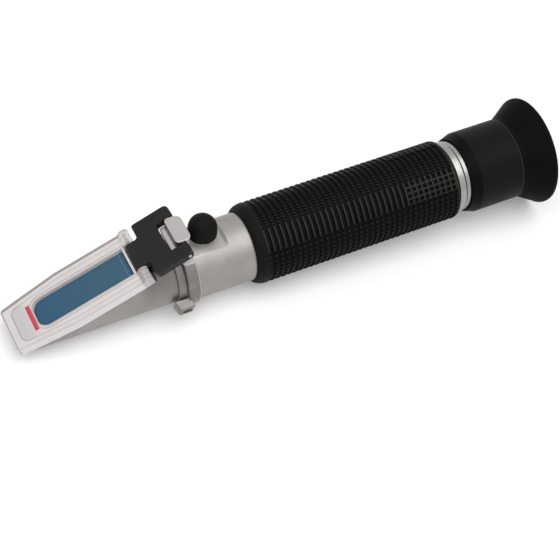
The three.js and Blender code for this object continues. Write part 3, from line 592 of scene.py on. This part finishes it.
# %% Rings
RING_EDGE, SEAT_EDGE, TAIL_EDGE = 0.4, 0.45, 0.3
RING_X, RING_END, RING_BORE, RING_R = 105.4, 108.1, 11.6, 13.3
end_ring = softened([(RING_X, RING_BORE), (RING_X, RING_R), (RING_END, RING_R), (RING_END, RING_BORE)],
                    [0, RING_EDGE, RING_EDGE, 0])
piece("end_ring_metal", [turned(end_ring)], "barrel", lathe.material, ["end_ring"])
SPIGOT_X, SEAT_X, SEAT_END, TAIL_END = 96.4, 108.4, 110.3, 122.0
SEAT_BORE, SPIGOT_R, SEAT_R = 9.6, 10.9, 12.9
seat = softened([(SEAT_X, SPIGOT_R), (SEAT_X, SEAT_R), (SEAT_END, SEAT_R), (SEAT_END, TUBE_R),
                 (TAIL_END, TUBE_R), (TAIL_END, SEAT_BORE), (SPIGOT_X, SEAT_BORE), (SPIGOT_X, SPIGOT_R)],
                [0, RING_EDGE, SEAT_EDGE, 0, TAIL_EDGE, 0, 0, 0])
piece("seat_metal", [turned(seat)], "barrel", lathe.material, ["eyepiece_seat"])

# %% [markdown]
# ## The focusing sleeve and the eyecup
# The sleeve is a black moulded tube with a long chamfer in front. The cup is soft rubber: a cone that
# flares from the sleeve's width to the rim, with a wall that stays the same all the way.

# %% Sleeve and cup
SLEEVE_X, CHAMFER_X, MOUTH_X, WEB_X, WEB_END, SLEEVE_END = 110.1, 113.8, 114.0, 127.3, 129.1, 131.2
WEB_BORE, SLEEVE_BORE, MOUTH_R, LIP_R, SLEEVE_R = 9.9, 12.3, 13.2, 13.6, 14.85
sleeve = softened([(SLEEVE_X, MOUTH_R), (SLEEVE_X, LIP_R), (CHAMFER_X, SLEEVE_R), (SLEEVE_END, SLEEVE_R),
                   (SLEEVE_END, SLEEVE_BORE), (WEB_END, SLEEVE_BORE), (WEB_END, WEB_BORE),
                   (WEB_X, WEB_BORE), (WEB_X, SLEEVE_BORE), (MOUTH_X, SLEEVE_BORE), (MOUTH_X, MOUTH_R)],
                  [0, 0.15, 0.6, 0.4, 0, 0, 0.3, 0.3, 0, 0, 0])
piece("sleeve_plastic", [turned(sleeve, columns=160)], "focus_ring", moulded.material,
      ["focus_sleeve"])
CUP_X, FLARE_X, RIM_X, THROAT_X, CONE_X = 131.25, 132.5, 141.0, 131.4, 132.9
CUP_BORE, CONE_BORE, PLUG_R, CUP_R, RIM_BORE, RIM_R = 10.5, 11.25, 12.0, 14.6, 18.3, 19.8
cup = softened([(WEB_END, CUP_BORE), (WEB_END, PLUG_R), (CUP_X, PLUG_R), (CUP_X, CUP_R), (FLARE_X, CUP_R),
                (RIM_X, RIM_R), (CUP_END, RIM_R), (CUP_END, RIM_BORE), (CONE_X, CONE_BORE),
                (THROAT_X, CUP_BORE)],
               [0, 0.3, 0, 0.3, 2.4, 0.8, 0.5, 0.5, 2.0, 1.0])
piece("cup_rubber", [turned(cup, columns=160)], "focus_ring", soft.material, ["eyecup"])

# %% [markdown]
# ## What the open cup shows
# Looking in from behind one sees the tube that slides in the seat, a black keeper ring and the eye
# lens. A lens is two shallow domes, so its profile is drawn from the axis out and back.

# %% Eye tube, keeper and eye lens
EYE_TUBE_X, STOP_X, STOP_END, EYE_TUBE_END = 99.9, 124.0, 127.0, 128.4
EYE_BORE, EYE_TUBE_R, STOP_R = 8.0, 9.3, 12.0
tube = softened([(EYE_TUBE_X, EYE_BORE), (EYE_TUBE_X, EYE_TUBE_R), (STOP_X, EYE_TUBE_R), (STOP_X, STOP_R),
                 (STOP_END, STOP_R), (STOP_END, EYE_TUBE_R), (EYE_TUBE_END, EYE_TUBE_R),
                 (EYE_TUBE_END, EYE_BORE)],
                [0, 0.2, 0, 0.2, 0.2, 0, 0.3, 0.2])
piece("eye_tube_metal", [turned(tube)], "eyepiece", blackened.material, ["eye_tube"])
KEEPER_X, KEEPER_BORE, KEEPER_R = 126.4, 6.7, 7.7
keeper = softened([(KEEPER_X, KEEPER_BORE), (KEEPER_X, KEEPER_R), (EYE_TUBE_END, KEEPER_R),
                   (EYE_TUBE_END, KEEPER_BORE)], [0.1, 0.1, 0.2, 0.5])
piece("keeper_metal", [turned(keeper)], "eyepiece", blackened.material, ["lens_keeper"])
LENS_X, LENS_R, LENS_EDGE, LENS_BULGE, LENS_RIM = 124.8, 7.7, 2.0, 1.9, 1.2


def lens_profile(x, radius, edge, bulge, rim, steps=14):
    """Both faces bulge by bulge · (1 - (r / clear radius)²) and end at a flat rim."""
    clear_radius = radius - rim
    out = np.linspace(0, 1, steps)
    front = np.column_stack([x - edge / 2 - bulge * (1 - out ** 2), out * clear_radius])
    back = np.column_stack([x + edge / 2 + bulge * (1 - out ** 2), out * clear_radius])[::-1]
    rims = [(x - edge / 2, radius), (x + edge / 2, radius)]
    return np.vstack([front, rims, back])


eye_lens = turned(lens_profile(LENS_X, LENS_R, LENS_EDGE, LENS_BULGE, LENS_RIM), ends=OPEN)
piece("eye_lens_glass", [eye_lens], "eyepiece", lens_glass.material, ["eye_lens"])

# %% [markdown]
# ## The rear casting
# One die casting holds the flange, the round body and two bosses for the set screws. A cutter took a
# flat off its top, and on that flat stand the neck of the calibration screw and the hinge's lug.
# Here it is several closed shells that run into each other, which is how such a part is usually
# blocked out, and each keeps its own clean edges.

# %% Rear casting
CASTING_EDGE, CASTING_R, BORE = 0.3, 12.24, 9.6
FLANGE_X, FLANGE_R, RAMP_FROM, CASTING_END, TUBE_STEP_END = 0.02, 13.3, 16.8, 25.4, 28.1
CUT_STEPS, ROUND_STEPS_BELOW = 12, 70
before_ramp = softened([(FLANGE_X, BORE), (FLANGE_X, FLANGE_R), (FLANGE_END, FLANGE_R),
                        (FLANGE_END, CASTING_R), (RAMP_FROM, CASTING_R)],
                       [0, 0.5, CASTING_EDGE, 0, 0], closed=False)
behind_ramp = softened([(RAMP_TO, CASTING_R), (CASTING_END, CASTING_R), (CASTING_END, TUBE_R),
                        (TUBE_STEP_END, TUBE_R), (TUBE_STEP_END, BORE)], [0, 0.12, 0, 0, 0], closed=False)


def milled_round(cut, whole):
    """Circles of (place, radius) whose height is min(radius · cos t, flat), then circles left whole.

    Each circle has a point where it meets the flat, at t = arccos(flat / radius). Between the last
    cut circle and the first whole one the flat ends in a ramp.
    """
    place, radius = np.vstack([cut, whole]).T
    level = np.concatenate([np.full(len(cut), FLAT_Z), np.full(len(whole), np.inf)])
    meets = np.arccos(FLAT_Z / np.maximum(radius, CASTING_R))[:, None]
    over = np.linspace(0, 1, CUT_STEPS, endpoint=False) * meets
    under = meets + np.linspace(0, 1, ROUND_STEPS_BELOW) * (math.pi - meets)
    half = np.concatenate([over, under], axis=1)
    turn = np.concatenate([half, -half[:, -2:0:-1]], axis=1)
    height = np.minimum(radius[:, None] * np.cos(turn), level[:, None])
    along = np.broadcast_to(place[:, None], turn.shape)
    return skin(np.dstack([along, radius[:, None] * np.sin(turn), height]), JOINED)


CAP_X, NECK_R, NECK_BORE, NECK_FOOT, NECK_TOP = 10.1, 2.54, 1.7, 9, 17.4
neck = softened([(NECK_FOOT, NECK_BORE), (NECK_FOOT, NECK_R), (NECK_TOP, NECK_R), (NECK_TOP, NECK_BORE)],
                [0, 0, 0.2, 0.2])
BOSS_X, BOSS_FOOT, BOSS_TOP, BOSS_HALF, BOSS_HOLE, BOSS_ANGLE = -1.3, 12.05, 15.5, 2.8, 1.8, 70
BOSS_FRONT, BOSS_SHOULDER, BOSS_FACE, BOSS_BACK = -4.9, -3.8, -3.4, 1.3
boss_foot = softened([(BOSS_FRONT, -BOSS_HALF), (BOSS_BACK, -BOSS_HALF), (BOSS_BACK, BOSS_HALF),
                      (BOSS_FRONT, BOSS_HALF)], 0.5, spacing=0.4)


def round_hole(outline, centre, radius):
    """Points of a circle that lie on the rays from its centre to the outline's points."""
    ray = outline - centre
    return centre + radius * ray / np.linalg.norm(ray, axis=1)[:, None]


def radial_bench(side, degrees=BOSS_ANGLE):
    """A bench whose third direction points out of the axis, degrees from straight down towards side."""
    angle = math.radians(degrees)
    out = np.array((0, side * math.sin(angle), -math.cos(angle)))
    return bench((0, 0, 0), (1, 0, 0), np.cross(out, (1, 0, 0)), out)


def boss(side):
    """Outline at the foot, drawn in towards the top, then the hole's circle, down to the screw's foot."""
    shoulder = np.clip(boss_foot, (BOSS_SHOULDER, -BOSS_HALF), (BOSS_BACK, BOSS_HALF))
    top = np.clip(boss_foot, (BOSS_FACE, 0.4 - BOSS_HALF), (BOSS_BACK - 0.4, BOSS_HALF - 0.4))
    hole = round_hole(boss_foot, np.array((BOSS_X, 0)), BOSS_HOLE)
    levels = [(boss_foot, BOSS_FOOT), (boss_foot, BOSS_FOOT + 0.6), (shoulder, BOSS_TOP - 0.4),
              (top, BOSS_TOP), (hole, BOSS_TOP), (hole, BOSS_FOOT + 0.1)]
    return raised(levels, radial_bench(side))


casting = [milled_round(before_ramp, behind_ramp), turned(neck, (0, 0, 1), (CAP_X, 0, 0), 64),
           boss(1), boss(-1)]
piece("rear_casting", casting, "barrel", satin.material, ["main_barrel"],
      crease=22, bevel=0.3)

# %% [markdown]
# ## The hinge's lug
# A tab with rounded corners stands on the flat and holds the block's pin. A nose in front of it bends
# over the front flange and stops the block. Both were ground after casting, so they are brushed.

# %% Lug
LUG_TOP, LUG_HALF, LUG_FRONT, LUG_BACK, NOSE_HALF, NOSE_FOOT = 21.1, 5.6, -1.9, 3.9, 5.3, 12.05
PIN_X, PIN_Z = 0.7, 19.4
side_view = bench((0, 0, 0), (1, 0, 0), (0, 0, 1), (0, 1, 0))
tab = softened([(LUG_FRONT, -LUG_HALF), (LUG_BACK, -LUG_HALF), (LUG_BACK, LUG_HALF), (LUG_FRONT, LUG_HALF)],
               [1.5, 2.2, 2.2, 1.5])
FOOT_FRONT, FOOT_DEEP = 0.3, 9.7
foot = softened([(FOOT_FRONT, -LUG_HALF), (LUG_BACK, -LUG_HALF), (LUG_BACK, LUG_HALF),
                 (FOOT_FRONT, LUG_HALF)], [0, 2.2, 2.2, 0])
NOSE_X, NOSE_UNDER, NOSE_TOP, NOSE_TIP = -2.78, 15.55, 17.76, (-3.44, 17.12)
nose = softened([(NOSE_X, NOSE_FOOT), (FOOT_FRONT, NOSE_FOOT), (FOOT_FRONT, NOSE_TOP),
                 (LUG_FRONT, NOSE_TOP), NOSE_TIP, (NOSE_X, NOSE_UNDER)], [0, 0, 0, 0, 0.25, 0.6])
lug = [raised([(tab, NOSE_FOOT), (tab, LUG_TOP)]), raised([(foot, FOOT_DEEP), (foot, NOSE_FOOT + 1)]),
       raised([(nose, -NOSE_HALF), (nose, NOSE_HALF)], side_view)]
piece("hinge_lug", lug, "barrel", ground.material, ["main_barrel"], bevel=0.25)

# %% [markdown]
# ## Screws
# The set screws sit in the bosses and hold the front housing, and the calibration screw sits under
# the rubber cap. A slotted head is a round body with two half-moons on it, one on each side of the slot.

# %% Slotted screws
SLOT_HALF, SLOT_DEPTH = 0.35, 0.9


def slotted_screw(foot, top, radius, onto, centre):
    """A round bar up to the slot's floor, and on it two circle segments that the slot leaves standing."""
    turn = np.linspace(0, 2 * math.pi, 48, endpoint=False)
    circle = centre + radius * np.column_stack([np.cos(turn), np.sin(turn)])
    reach = math.asin(SLOT_HALF / radius)
    half = np.linspace(reach, math.pi - reach, 21)
    moon = radius * np.column_stack([np.cos(half), np.sin(half)])
    moons = [raised([(centre + sign * moon, top - SLOT_DEPTH - 0.05), (centre + sign * moon, top)], onto)
             for sign in (1, -1)]
    return [raised([(circle, foot), (circle, top - SLOT_DEPTH)], onto), *moons]


SET_FOOT, SET_TOP, SET_R = 11.9, 14.5, 1.5
CALIBRATION_FOOT, CALIBRATION_TOP, CALIBRATION_R = 8.5, 16.5, 1.4
for side, name in ((-1, "near"), (1, "far")):
    screw = slotted_screw(SET_FOOT, SET_TOP, SET_R, radial_bench(side), np.array((BOSS_X, 0)))
    piece(f"set_screw_brass_{name}", screw, "barrel", brass.material, [f"set_screw_{name}"],
          bevel=0.1)
screw = slotted_screw(CALIBRATION_FOOT, CALIBRATION_TOP, CALIBRATION_R, bench(), np.array((CAP_X, 0)))
piece("calibration_screw_brass", screw, "calibration", brass.material, ["calibration_screw"],
      bevel=0.1)

# %% [markdown]
# ## The rubber cap over the calibration screw
# A dome on a short straight wall, hollow, so that it can be pulled off its neck. Its foot stays
# clear of the flat, so the neck hides behind it.

# %% Cap
CAP_R, CAP_WALL, CAP_BASE, CAP_SHOULDER = 5.04, 2.2, 14.2, 3.1
quarter = np.linspace(0, math.pi / 2, 15)


def dome(radius):
    """Place and radius of a half circle over the shoulder, from its side to its pole."""
    return np.column_stack([CAP_BASE + CAP_SHOULDER + radius * np.sin(quarter), radius * np.cos(quarter)])


inside = CAP_R - CAP_WALL
foot = softened([(CAP_BASE, inside), (CAP_BASE, CAP_R), (CAP_BASE + CAP_SHOULDER, CAP_R)], [0, 0.5, 0],
                closed=False)
outer = np.vstack([foot[:-1], dome(CAP_R)])
inner = np.vstack([[(CAP_BASE, inside)], dome(inside)])[::-1]
cap = turned(np.vstack([inner, outer]), (0, 0, 1), (CAP_X, 0, 0), 72, OPEN)
piece("cap_dome", [cap], "cap", rubber.material, ["calibration_cap"])

# %% [markdown]
# ## The front casting
# The housing is a round bar with its upper side milled away to a sloping deck. Each cross-section is
# a circle cut by a level line, with a straight shoulder wall where the deck is high, so the bar is a
# stack of such sections. Where a wall has no height yet, its points meet and are merged.

# %% Front casting
HOUSING_R, SHOULDER, HOUSING_X, DECK_DROP, CORNER = 10.75, 9.4, -56.0, 1.75, 0.5
SADDLE_X, SADDLE_END, SHOULDER_END = -16.7, -7.2, -10.0
deck = bench(HEEL, ALONG_DECK, ACROSS, OFF_DECK)


def plane_height(x, above):
    """Height of the plane that lies a distance above the prism's face, at x."""
    return HEEL[2] + (x - HEEL[0]) * math.tan(TILT) + above / math.cos(TILT)


def cut_bar(x, inset, wall):
    """Right half from the bottom: arc to the wall, the wall, a corner arc, the deck; then mirrored."""
    height = np.minimum(plane_height(x, -DECK_DROP), plane_height(SADDLE_X, -DECK_DROP)) - inset
    radius, wall = HOUSING_R - inset, wall - inset
    disc = np.sqrt(np.maximum((radius - CORNER) ** 2 - (height - CORNER) ** 2, 0))
    walled = (wall - CORNER > disc) & (height > CORNER)
    corner = np.where(walled, wall - CORNER, disc)
    arc_end = np.where(walled, np.arccos(np.clip(wall / radius, 0, 1)), np.arctan2(height - CORNER, disc))
    share = np.linspace(0, 1, 33)
    angle = -math.pi / 2 + share * (arc_end[:, None] + math.pi / 2)
    arc = radius[:, None, None] * np.dstack([np.cos(angle), np.sin(angle)])
    edge = np.where(walled, wall, arc[:, -1, 0])
    top = np.column_stack([edge, np.where(walled, height - CORNER, arc[:, -1, 1])])
    climb = np.linspace(0, 1, 6)[1:, None]
    foot = np.column_stack([edge, arc[:, -1, 1]])
    side = foot[:, None] + climb * (top - foot)[:, None]
    start = np.where(walled, 0, arc_end)
    swing = start[:, None] + np.linspace(0, 1, 6)[1:] * (math.pi / 2 - start[:, None])
    bend = np.dstack([corner[:, None] + CORNER * np.cos(swing),
                      (height - CORNER)[:, None] + CORNER * np.sin(swing)])
    level = np.dstack([corner[:, None] * np.array([0.97, 0.6, 0.3, 0]), np.repeat(height[:, None], 4, 1)])
    half = np.concatenate([arc, side, bend, level], axis=1)
    mirrored = half[:, -2:0:-1] * (-1, 1)
    section = np.concatenate([half, mirrored], axis=1)
    return np.dstack([np.broadcast_to(x[:, None], section.shape[:2]), section])


front_round = np.linspace(0, math.pi / 2, 6)
FRONT_R = 0.6
x = np.concatenate([[HOUSING_X], HOUSING_X + FRONT_R * (1 - np.cos(front_round)),
                    np.linspace(HOUSING_X + 1, SADDLE_X, 60), [SHOULDER_END]])
inset = np.concatenate([[FRONT_R + GUARD], FRONT_R * (1 - np.sin(front_round)), np.zeros(61)])
saddle_x = np.array([SHOULDER_END - 1, SADDLE_END + 0.4])
COLLAR_X, COLLAR_END, COLLAR_R = -2.9, -0.02, 11.6
collar = softened([(SADDLE_END, 0), (SADDLE_END, HOUSING_R), (COLLAR_X, HOUSING_R), (COLLAR_X, COLLAR_R),
                   (COLLAR_END, COLLAR_R), (COLLAR_END, 0)], [0, 0.3, 0, 0.2, 0.2, 0], closed=False)
housing = [skin(cut_bar(x, inset, SHOULDER)), skin(cut_bar(saddle_x, np.zeros(2), 0)),
           turned(collar, ends=OPEN, columns=160)]
piece("front_casting", housing, "barrel", satin.material, ["prism_housing"])

# %% [markdown]
# ## The prism and its seal
# Only the prism's measuring face and a little of its sides stand out of the deck. Its edges are
# ground off, and a pale cement runs round it.

# %% Prism and seal
PRISM_DEEP, PRISM_BEVEL = -6, 0.3
SEAL_TIP, SEAL_REAR, SEAL_HALF, SEAL_CORNER = -38.5, 0.2, 7.0, 5.2
SEAL_DEEP, SEAL_TOP, SEAL_BEVEL, SEAL_GAP = -1.9, -0.5, 0.3, 0.02
face = softened([(0, FACE_HALF), (FACE_TIP, FACE_HALF), (FACE_TIP, -FACE_HALF), (0, -FACE_HALF)],
                [0.3, FACE_CORNER, FACE_CORNER, 0.3])
prism = raised([(face, PRISM_DEEP), (face, -PRISM_BEVEL), (grown(face, -PRISM_BEVEL), 0)], deck)
piece("prism_block", [prism], "barrel", glass.material, ["prism"])
seal_out = softened([(SEAL_REAR, SEAL_HALF), (SEAL_TIP, SEAL_HALF), (SEAL_TIP, -SEAL_HALF),
                     (SEAL_REAR, -SEAL_HALF)], [0.3, SEAL_CORNER, SEAL_CORNER, 0.3])
seal_in = grown(face, SEAL_GAP)
seal = raised([(seal_out, SEAL_DEEP), (seal_out, SEAL_TOP - SEAL_BEVEL),
               (grown(seal_out, -SEAL_BEVEL), SEAL_TOP), (seal_in, SEAL_TOP), (seal_in, SEAL_DEEP)],
              deck, JOINED)
piece("seal_cement", [seal], "barrel", cement.material, ["prism_seal"])

# %% [markdown]
# ## The clear cover
# The cover is a shallow tray of clear plastic, open towards the hinge, that presses the drop on the
# prism. It is drawn as one closed shell, so that it can be printed or refract in another scene: over
# the top, down the wall, under the rim and up into the pocket. Along the open end the wall has no
# height, and its points are merged.

# %% Cover
COVER_TOP, COVER_LOW, POCKET, WALL, COVER_REAR = 1.2, -1.4, 0.3, 1.8, 1.0
BEND, BEND_HALF, FRONT_HALF = -38.3, 9.9, 9.0
sides = softened([(COVER_REAR, COVER_HALF), (COVER_FULL, COVER_HALF), (BEND, BEND_HALF),
                  (COVER_FRONT, FRONT_HALF), (COVER_FRONT, -FRONT_HALF), (BEND, -BEND_HALF),
                  (COVER_FULL, -COVER_HALF), (COVER_REAR, -COVER_HALF)],
                 [0, 6, 6, 1.6, 1.6, 6, 6, 0], closed=False)
walls = grown(sides, -WALL, closed=False)
rear_out = np.array([sides[-1], walls[-1], walls[0], sides[0]])
rear_in = np.array([walls[-1], walls[-1], walls[0], walls[0]])


def cover_loop(outline, rear, height, rear_height):
    """One loop of the tray: the front and sides at one height, the open end at its own."""
    heights = np.concatenate([np.full(len(outline), height), np.full(len(rear), rear_height)])
    return deck(np.column_stack([np.vstack([outline, rear]), heights]))


tray = skin(np.array([cover_loop(sides, rear_out, COVER_TOP, COVER_TOP),
                      cover_loop(sides, rear_out, POCKET, POCKET),
                      cover_loop(sides, rear_out, COVER_LOW, POCKET),
                      cover_loop(walls, rear_in, COVER_LOW, POCKET),
                      cover_loop(walls, rear_in, POCKET, POCKET)]))
EAR_IN, EAR_OUT, EAR_FRONT, EAR_REAR, EAR_LOW, EAR_TOP = 5.8, 11.3, 2.4, 5.0, -1.05, 2.6
deck_side = bench(HEEL, ALONG_DECK, OFF_DECK, ACROSS)
ear = softened([(COVER_REAR, COVER_LOW), (EAR_REAR, EAR_LOW), (EAR_REAR, EAR_TOP), (EAR_FRONT, EAR_TOP),
                (COVER_REAR, COVER_TOP)], [0, 0.8, 1.3, 0.8, 0])
ears = [raised([(ear, side * EAR_IN), (ear, side * EAR_OUT)], deck_side) for side in (1, -1)]
piece("cover_tray", [tray, *ears], "cover", clear.material, ["daylight_plate"], bevel=0.22)
BAND_FROM, BAND_TO, BAND_HALF, BAND_LOW, BAND_TOP = -37.25, -35.75, 5.2, 1.12, 1.25
band = softened([(BAND_FROM, -BAND_HALF), (BAND_TO, -BAND_HALF), (BAND_TO, BAND_HALF),
                 (BAND_FROM, BAND_HALF)], 0.2)
piece("marker_print", [raised([(band, BAND_LOW), (band, BAND_TOP)], deck)], "cover",
      red.material, ["marker_strip"])

# %% [markdown]
# ## The hinge block and its pins
# A black moulded T joins two hinges: it turns on the lug, and the cover turns on its tongue. The pins
# show as small bright dots in its sides and through the clear ears.

# %% Hinge block and pins
BLOCK_TILT = math.radians(22.8)
BLOCK_HALF, THICK, REACH, TAIL, TONGUE, PIN_REACH = 11.2, 3.0, 12.4, 1.5, 5.3, 15.96
block = bench((PIN_X, 0, PIN_Z), (math.cos(BLOCK_TILT), 0, math.sin(BLOCK_TILT)), (0, 1, 0),
              (-math.sin(BLOCK_TILT), 0, math.cos(BLOCK_TILT)))
NOTCH_HALF, NOTCH_REACH = 6.0, 5.0
tee = softened([(TAIL, NOTCH_HALF), (TAIL, BLOCK_HALF), (-REACH, BLOCK_HALF), (-REACH, TONGUE),
                (-PIN_REACH, TONGUE), (-PIN_REACH, -TONGUE), (-REACH, -TONGUE), (-REACH, -BLOCK_HALF),
                (TAIL, -BLOCK_HALF), (TAIL, -NOTCH_HALF), (-NOTCH_REACH, -NOTCH_HALF),
                (-NOTCH_REACH, NOTCH_HALF)], [1, 1.8, 1, 1, 0, 0, 1, 1, 1.8, 1, 0.6, 0.6])
tip = softened([(-TONGUE, 0), (-TONGUE, THICK / 2), (TONGUE, THICK / 2), (TONGUE, 0)], [0, 0.2, 0.2, 0],
               closed=False)
tip_at = block((-PIN_REACH, 0, 0))
body = [raised([(tee, -THICK / 2), (tee, THICK / 2)], block), turned(tip, (0, 1, 0), tip_at, 48, OPEN)]
piece("hinge_body", body, "hinge", plastic.material, ["hinge_block"], bevel=0.3)
PIN_R, PIN_EDGE = 0.6, 0.12
PINS = (("block_pin", (PIN_X, 0, PIN_Z), 11.24, "barrel"), ("cover_pin", tip_at, 10.9, "hinge"))
for node, centre, half, body_name in PINS:
    pin = softened([(-half, 0), (-half, PIN_R), (half, PIN_R), (half, 0)], [0, PIN_EDGE, PIN_EDGE, 0],
                   closed=False)
    piece(f"{node}_steel", [turned(pin, (0, 1, 0), centre, 40, OPEN)], body_name,
          brushed.material, [node])

# %% [markdown]
# ## The pieces inside
# What sits in the tube hardly shows, so its CAD solids stay and only get their finishes.

# %% Finishes of the inner pieces
INNER = {satin: ["body_tube"], blackened: ["lens_carriage", "objective_cell", "light_stop", "reticle_cell",
                                           "reticle_keeper", "lens_spacer"],
         lens_glass: ["objective_lens", "reticle_glass", "field_lens"], brass: ["bimetal_strip"],
         brushed: ["return_spring"]}
for finish, names in INNER.items():
    for name in names:
        for material_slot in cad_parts[name].material_slots:
            material_slot.material = finish.material
    print(finish.material.name, "on", names)

# %% [markdown]
# ## Floor, light and camera
# The instrument lies on a white table, on the cup's rim and the housing's nose. The floor is a plane
# through both. One wide lamp hangs over it, a little to the near side, and gives the soft band along
# the barrel. The surroundings look white to the camera and in reflections, but light the object at
# half of that strength, so the colours don't wash out.

# %% Floor
FLOOR_HALF, FLOOR_DROP = 3000, 0.05
rest_cup, rest_nose = (CUP_END, -AXIS_Z), (HOUSING_X, -HOUSING_R)
slope = (rest_cup[1] - rest_nose[1]) / (rest_cup[0] - rest_nose[0])
square = FLOOR_HALF * np.array([(-1, -1), (1, -1), (1, 1), (-1, 1)])
heights = rest_cup[1] + slope * (square[:, 0] - rest_cup[0]) - FLOOR_DROP
corners = placed(np.column_stack([square, heights])).tolist()
floor_mesh = bpy.data.meshes.new("floor")
floor_mesh.from_pydata(corners, [], [(0, 1, 2, 3)])
floor = bpy.data.objects.new("floor", floor_mesh)
bpy.context.scene.collection.objects.link(floor)
paper = Finish("white_table", base_color=(0.86, 0.86, 0.86), roughness=0.9, specular_ior_level=0.1)
paper.set(emission_strength=paper.seen() * 0.2, emission_color=(1, 1, 1))
floor_mesh.materials.append(paper.material)
print("floor slopes by", round(math.degrees(math.atan(slope)), 2), "degrees")

# %% World and lamps
world = bpy.data.worlds.new("plain_white")
bpy.context.scene.world = world
sky = Nodes(world)
WORLD_LIGHT, WORLD_SEEN = 0.5, 1.0
sky.feed(sky.tree.nodes["Background"], {"Color": (1, 1, 1),
                                        "Strength": sky.seen() * (WORLD_SEEN - WORLD_LIGHT) + WORLD_LIGHT})


def lamp(name, place, target, size, watts):
    """An oblong area lamp that looks from its place at a target, in metres."""
    data = bpy.data.lights.new(name, "AREA")
    data.shape, data.energy = "RECTANGLE", watts
    data.size, data.size_y = size
    thing = bpy.data.objects.new(name, data)
    thing.location = place
    thing.rotation_euler = (Vector(target) - Vector(place)).to_track_quat("-Z", "Y").to_euler()
    bpy.context.scene.collection.objects.link(thing)
    return thing


LAMP_X, LAMP_Y, LAMP_HEIGHT, LAMP_SIZE, LAMP_WATTS = 0.1, -0.34, 1.0, (1.8, 1.0), 10.5
lamp("softbox", (LAMP_X, LAMP_Y, LAMP_HEIGHT), (LAMP_X, LAMP_Y, 0), LAMP_SIZE, LAMP_WATTS)

# %% [markdown]
# ## The camera
# The place and the turn come from fitting the instrument's own circles and edges in the photograph.
# The picture is square, and its long focal length keeps the barrel's sides nearly parallel.

# %% Camera
RIGHT, UP, BACK = (0.89684, -0.43779, 0.06339), (0.31086, 0.72568, 0.61380), (-0.31472, -0.53078, 0.78691)
CAMERA_PLACE, LENS, SENSOR, NEAREST, FARTHEST = (-140.28, -307.65, 428.68), 102.857, 36, 0.01, 20
view = bpy.data.cameras.new("camera")
view.lens, view.sensor_width = LENS, SENSOR
view.clip_start, view.clip_end = NEAREST, FARTHEST
camera = bpy.data.objects.new("camera", view)
turn = Matrix((RIGHT, UP, BACK)).transposed().to_4x4()
camera.matrix_world = Matrix.Translation(placed(CAMERA_PLACE)) @ turn
bpy.context.scene.collection.objects.link(camera)
bpy.context.scene.camera = camera
bpy.context.scene.view_settings.view_transform = "Standard"
print("camera at", tuple(round(c, 3) for c in camera.location))
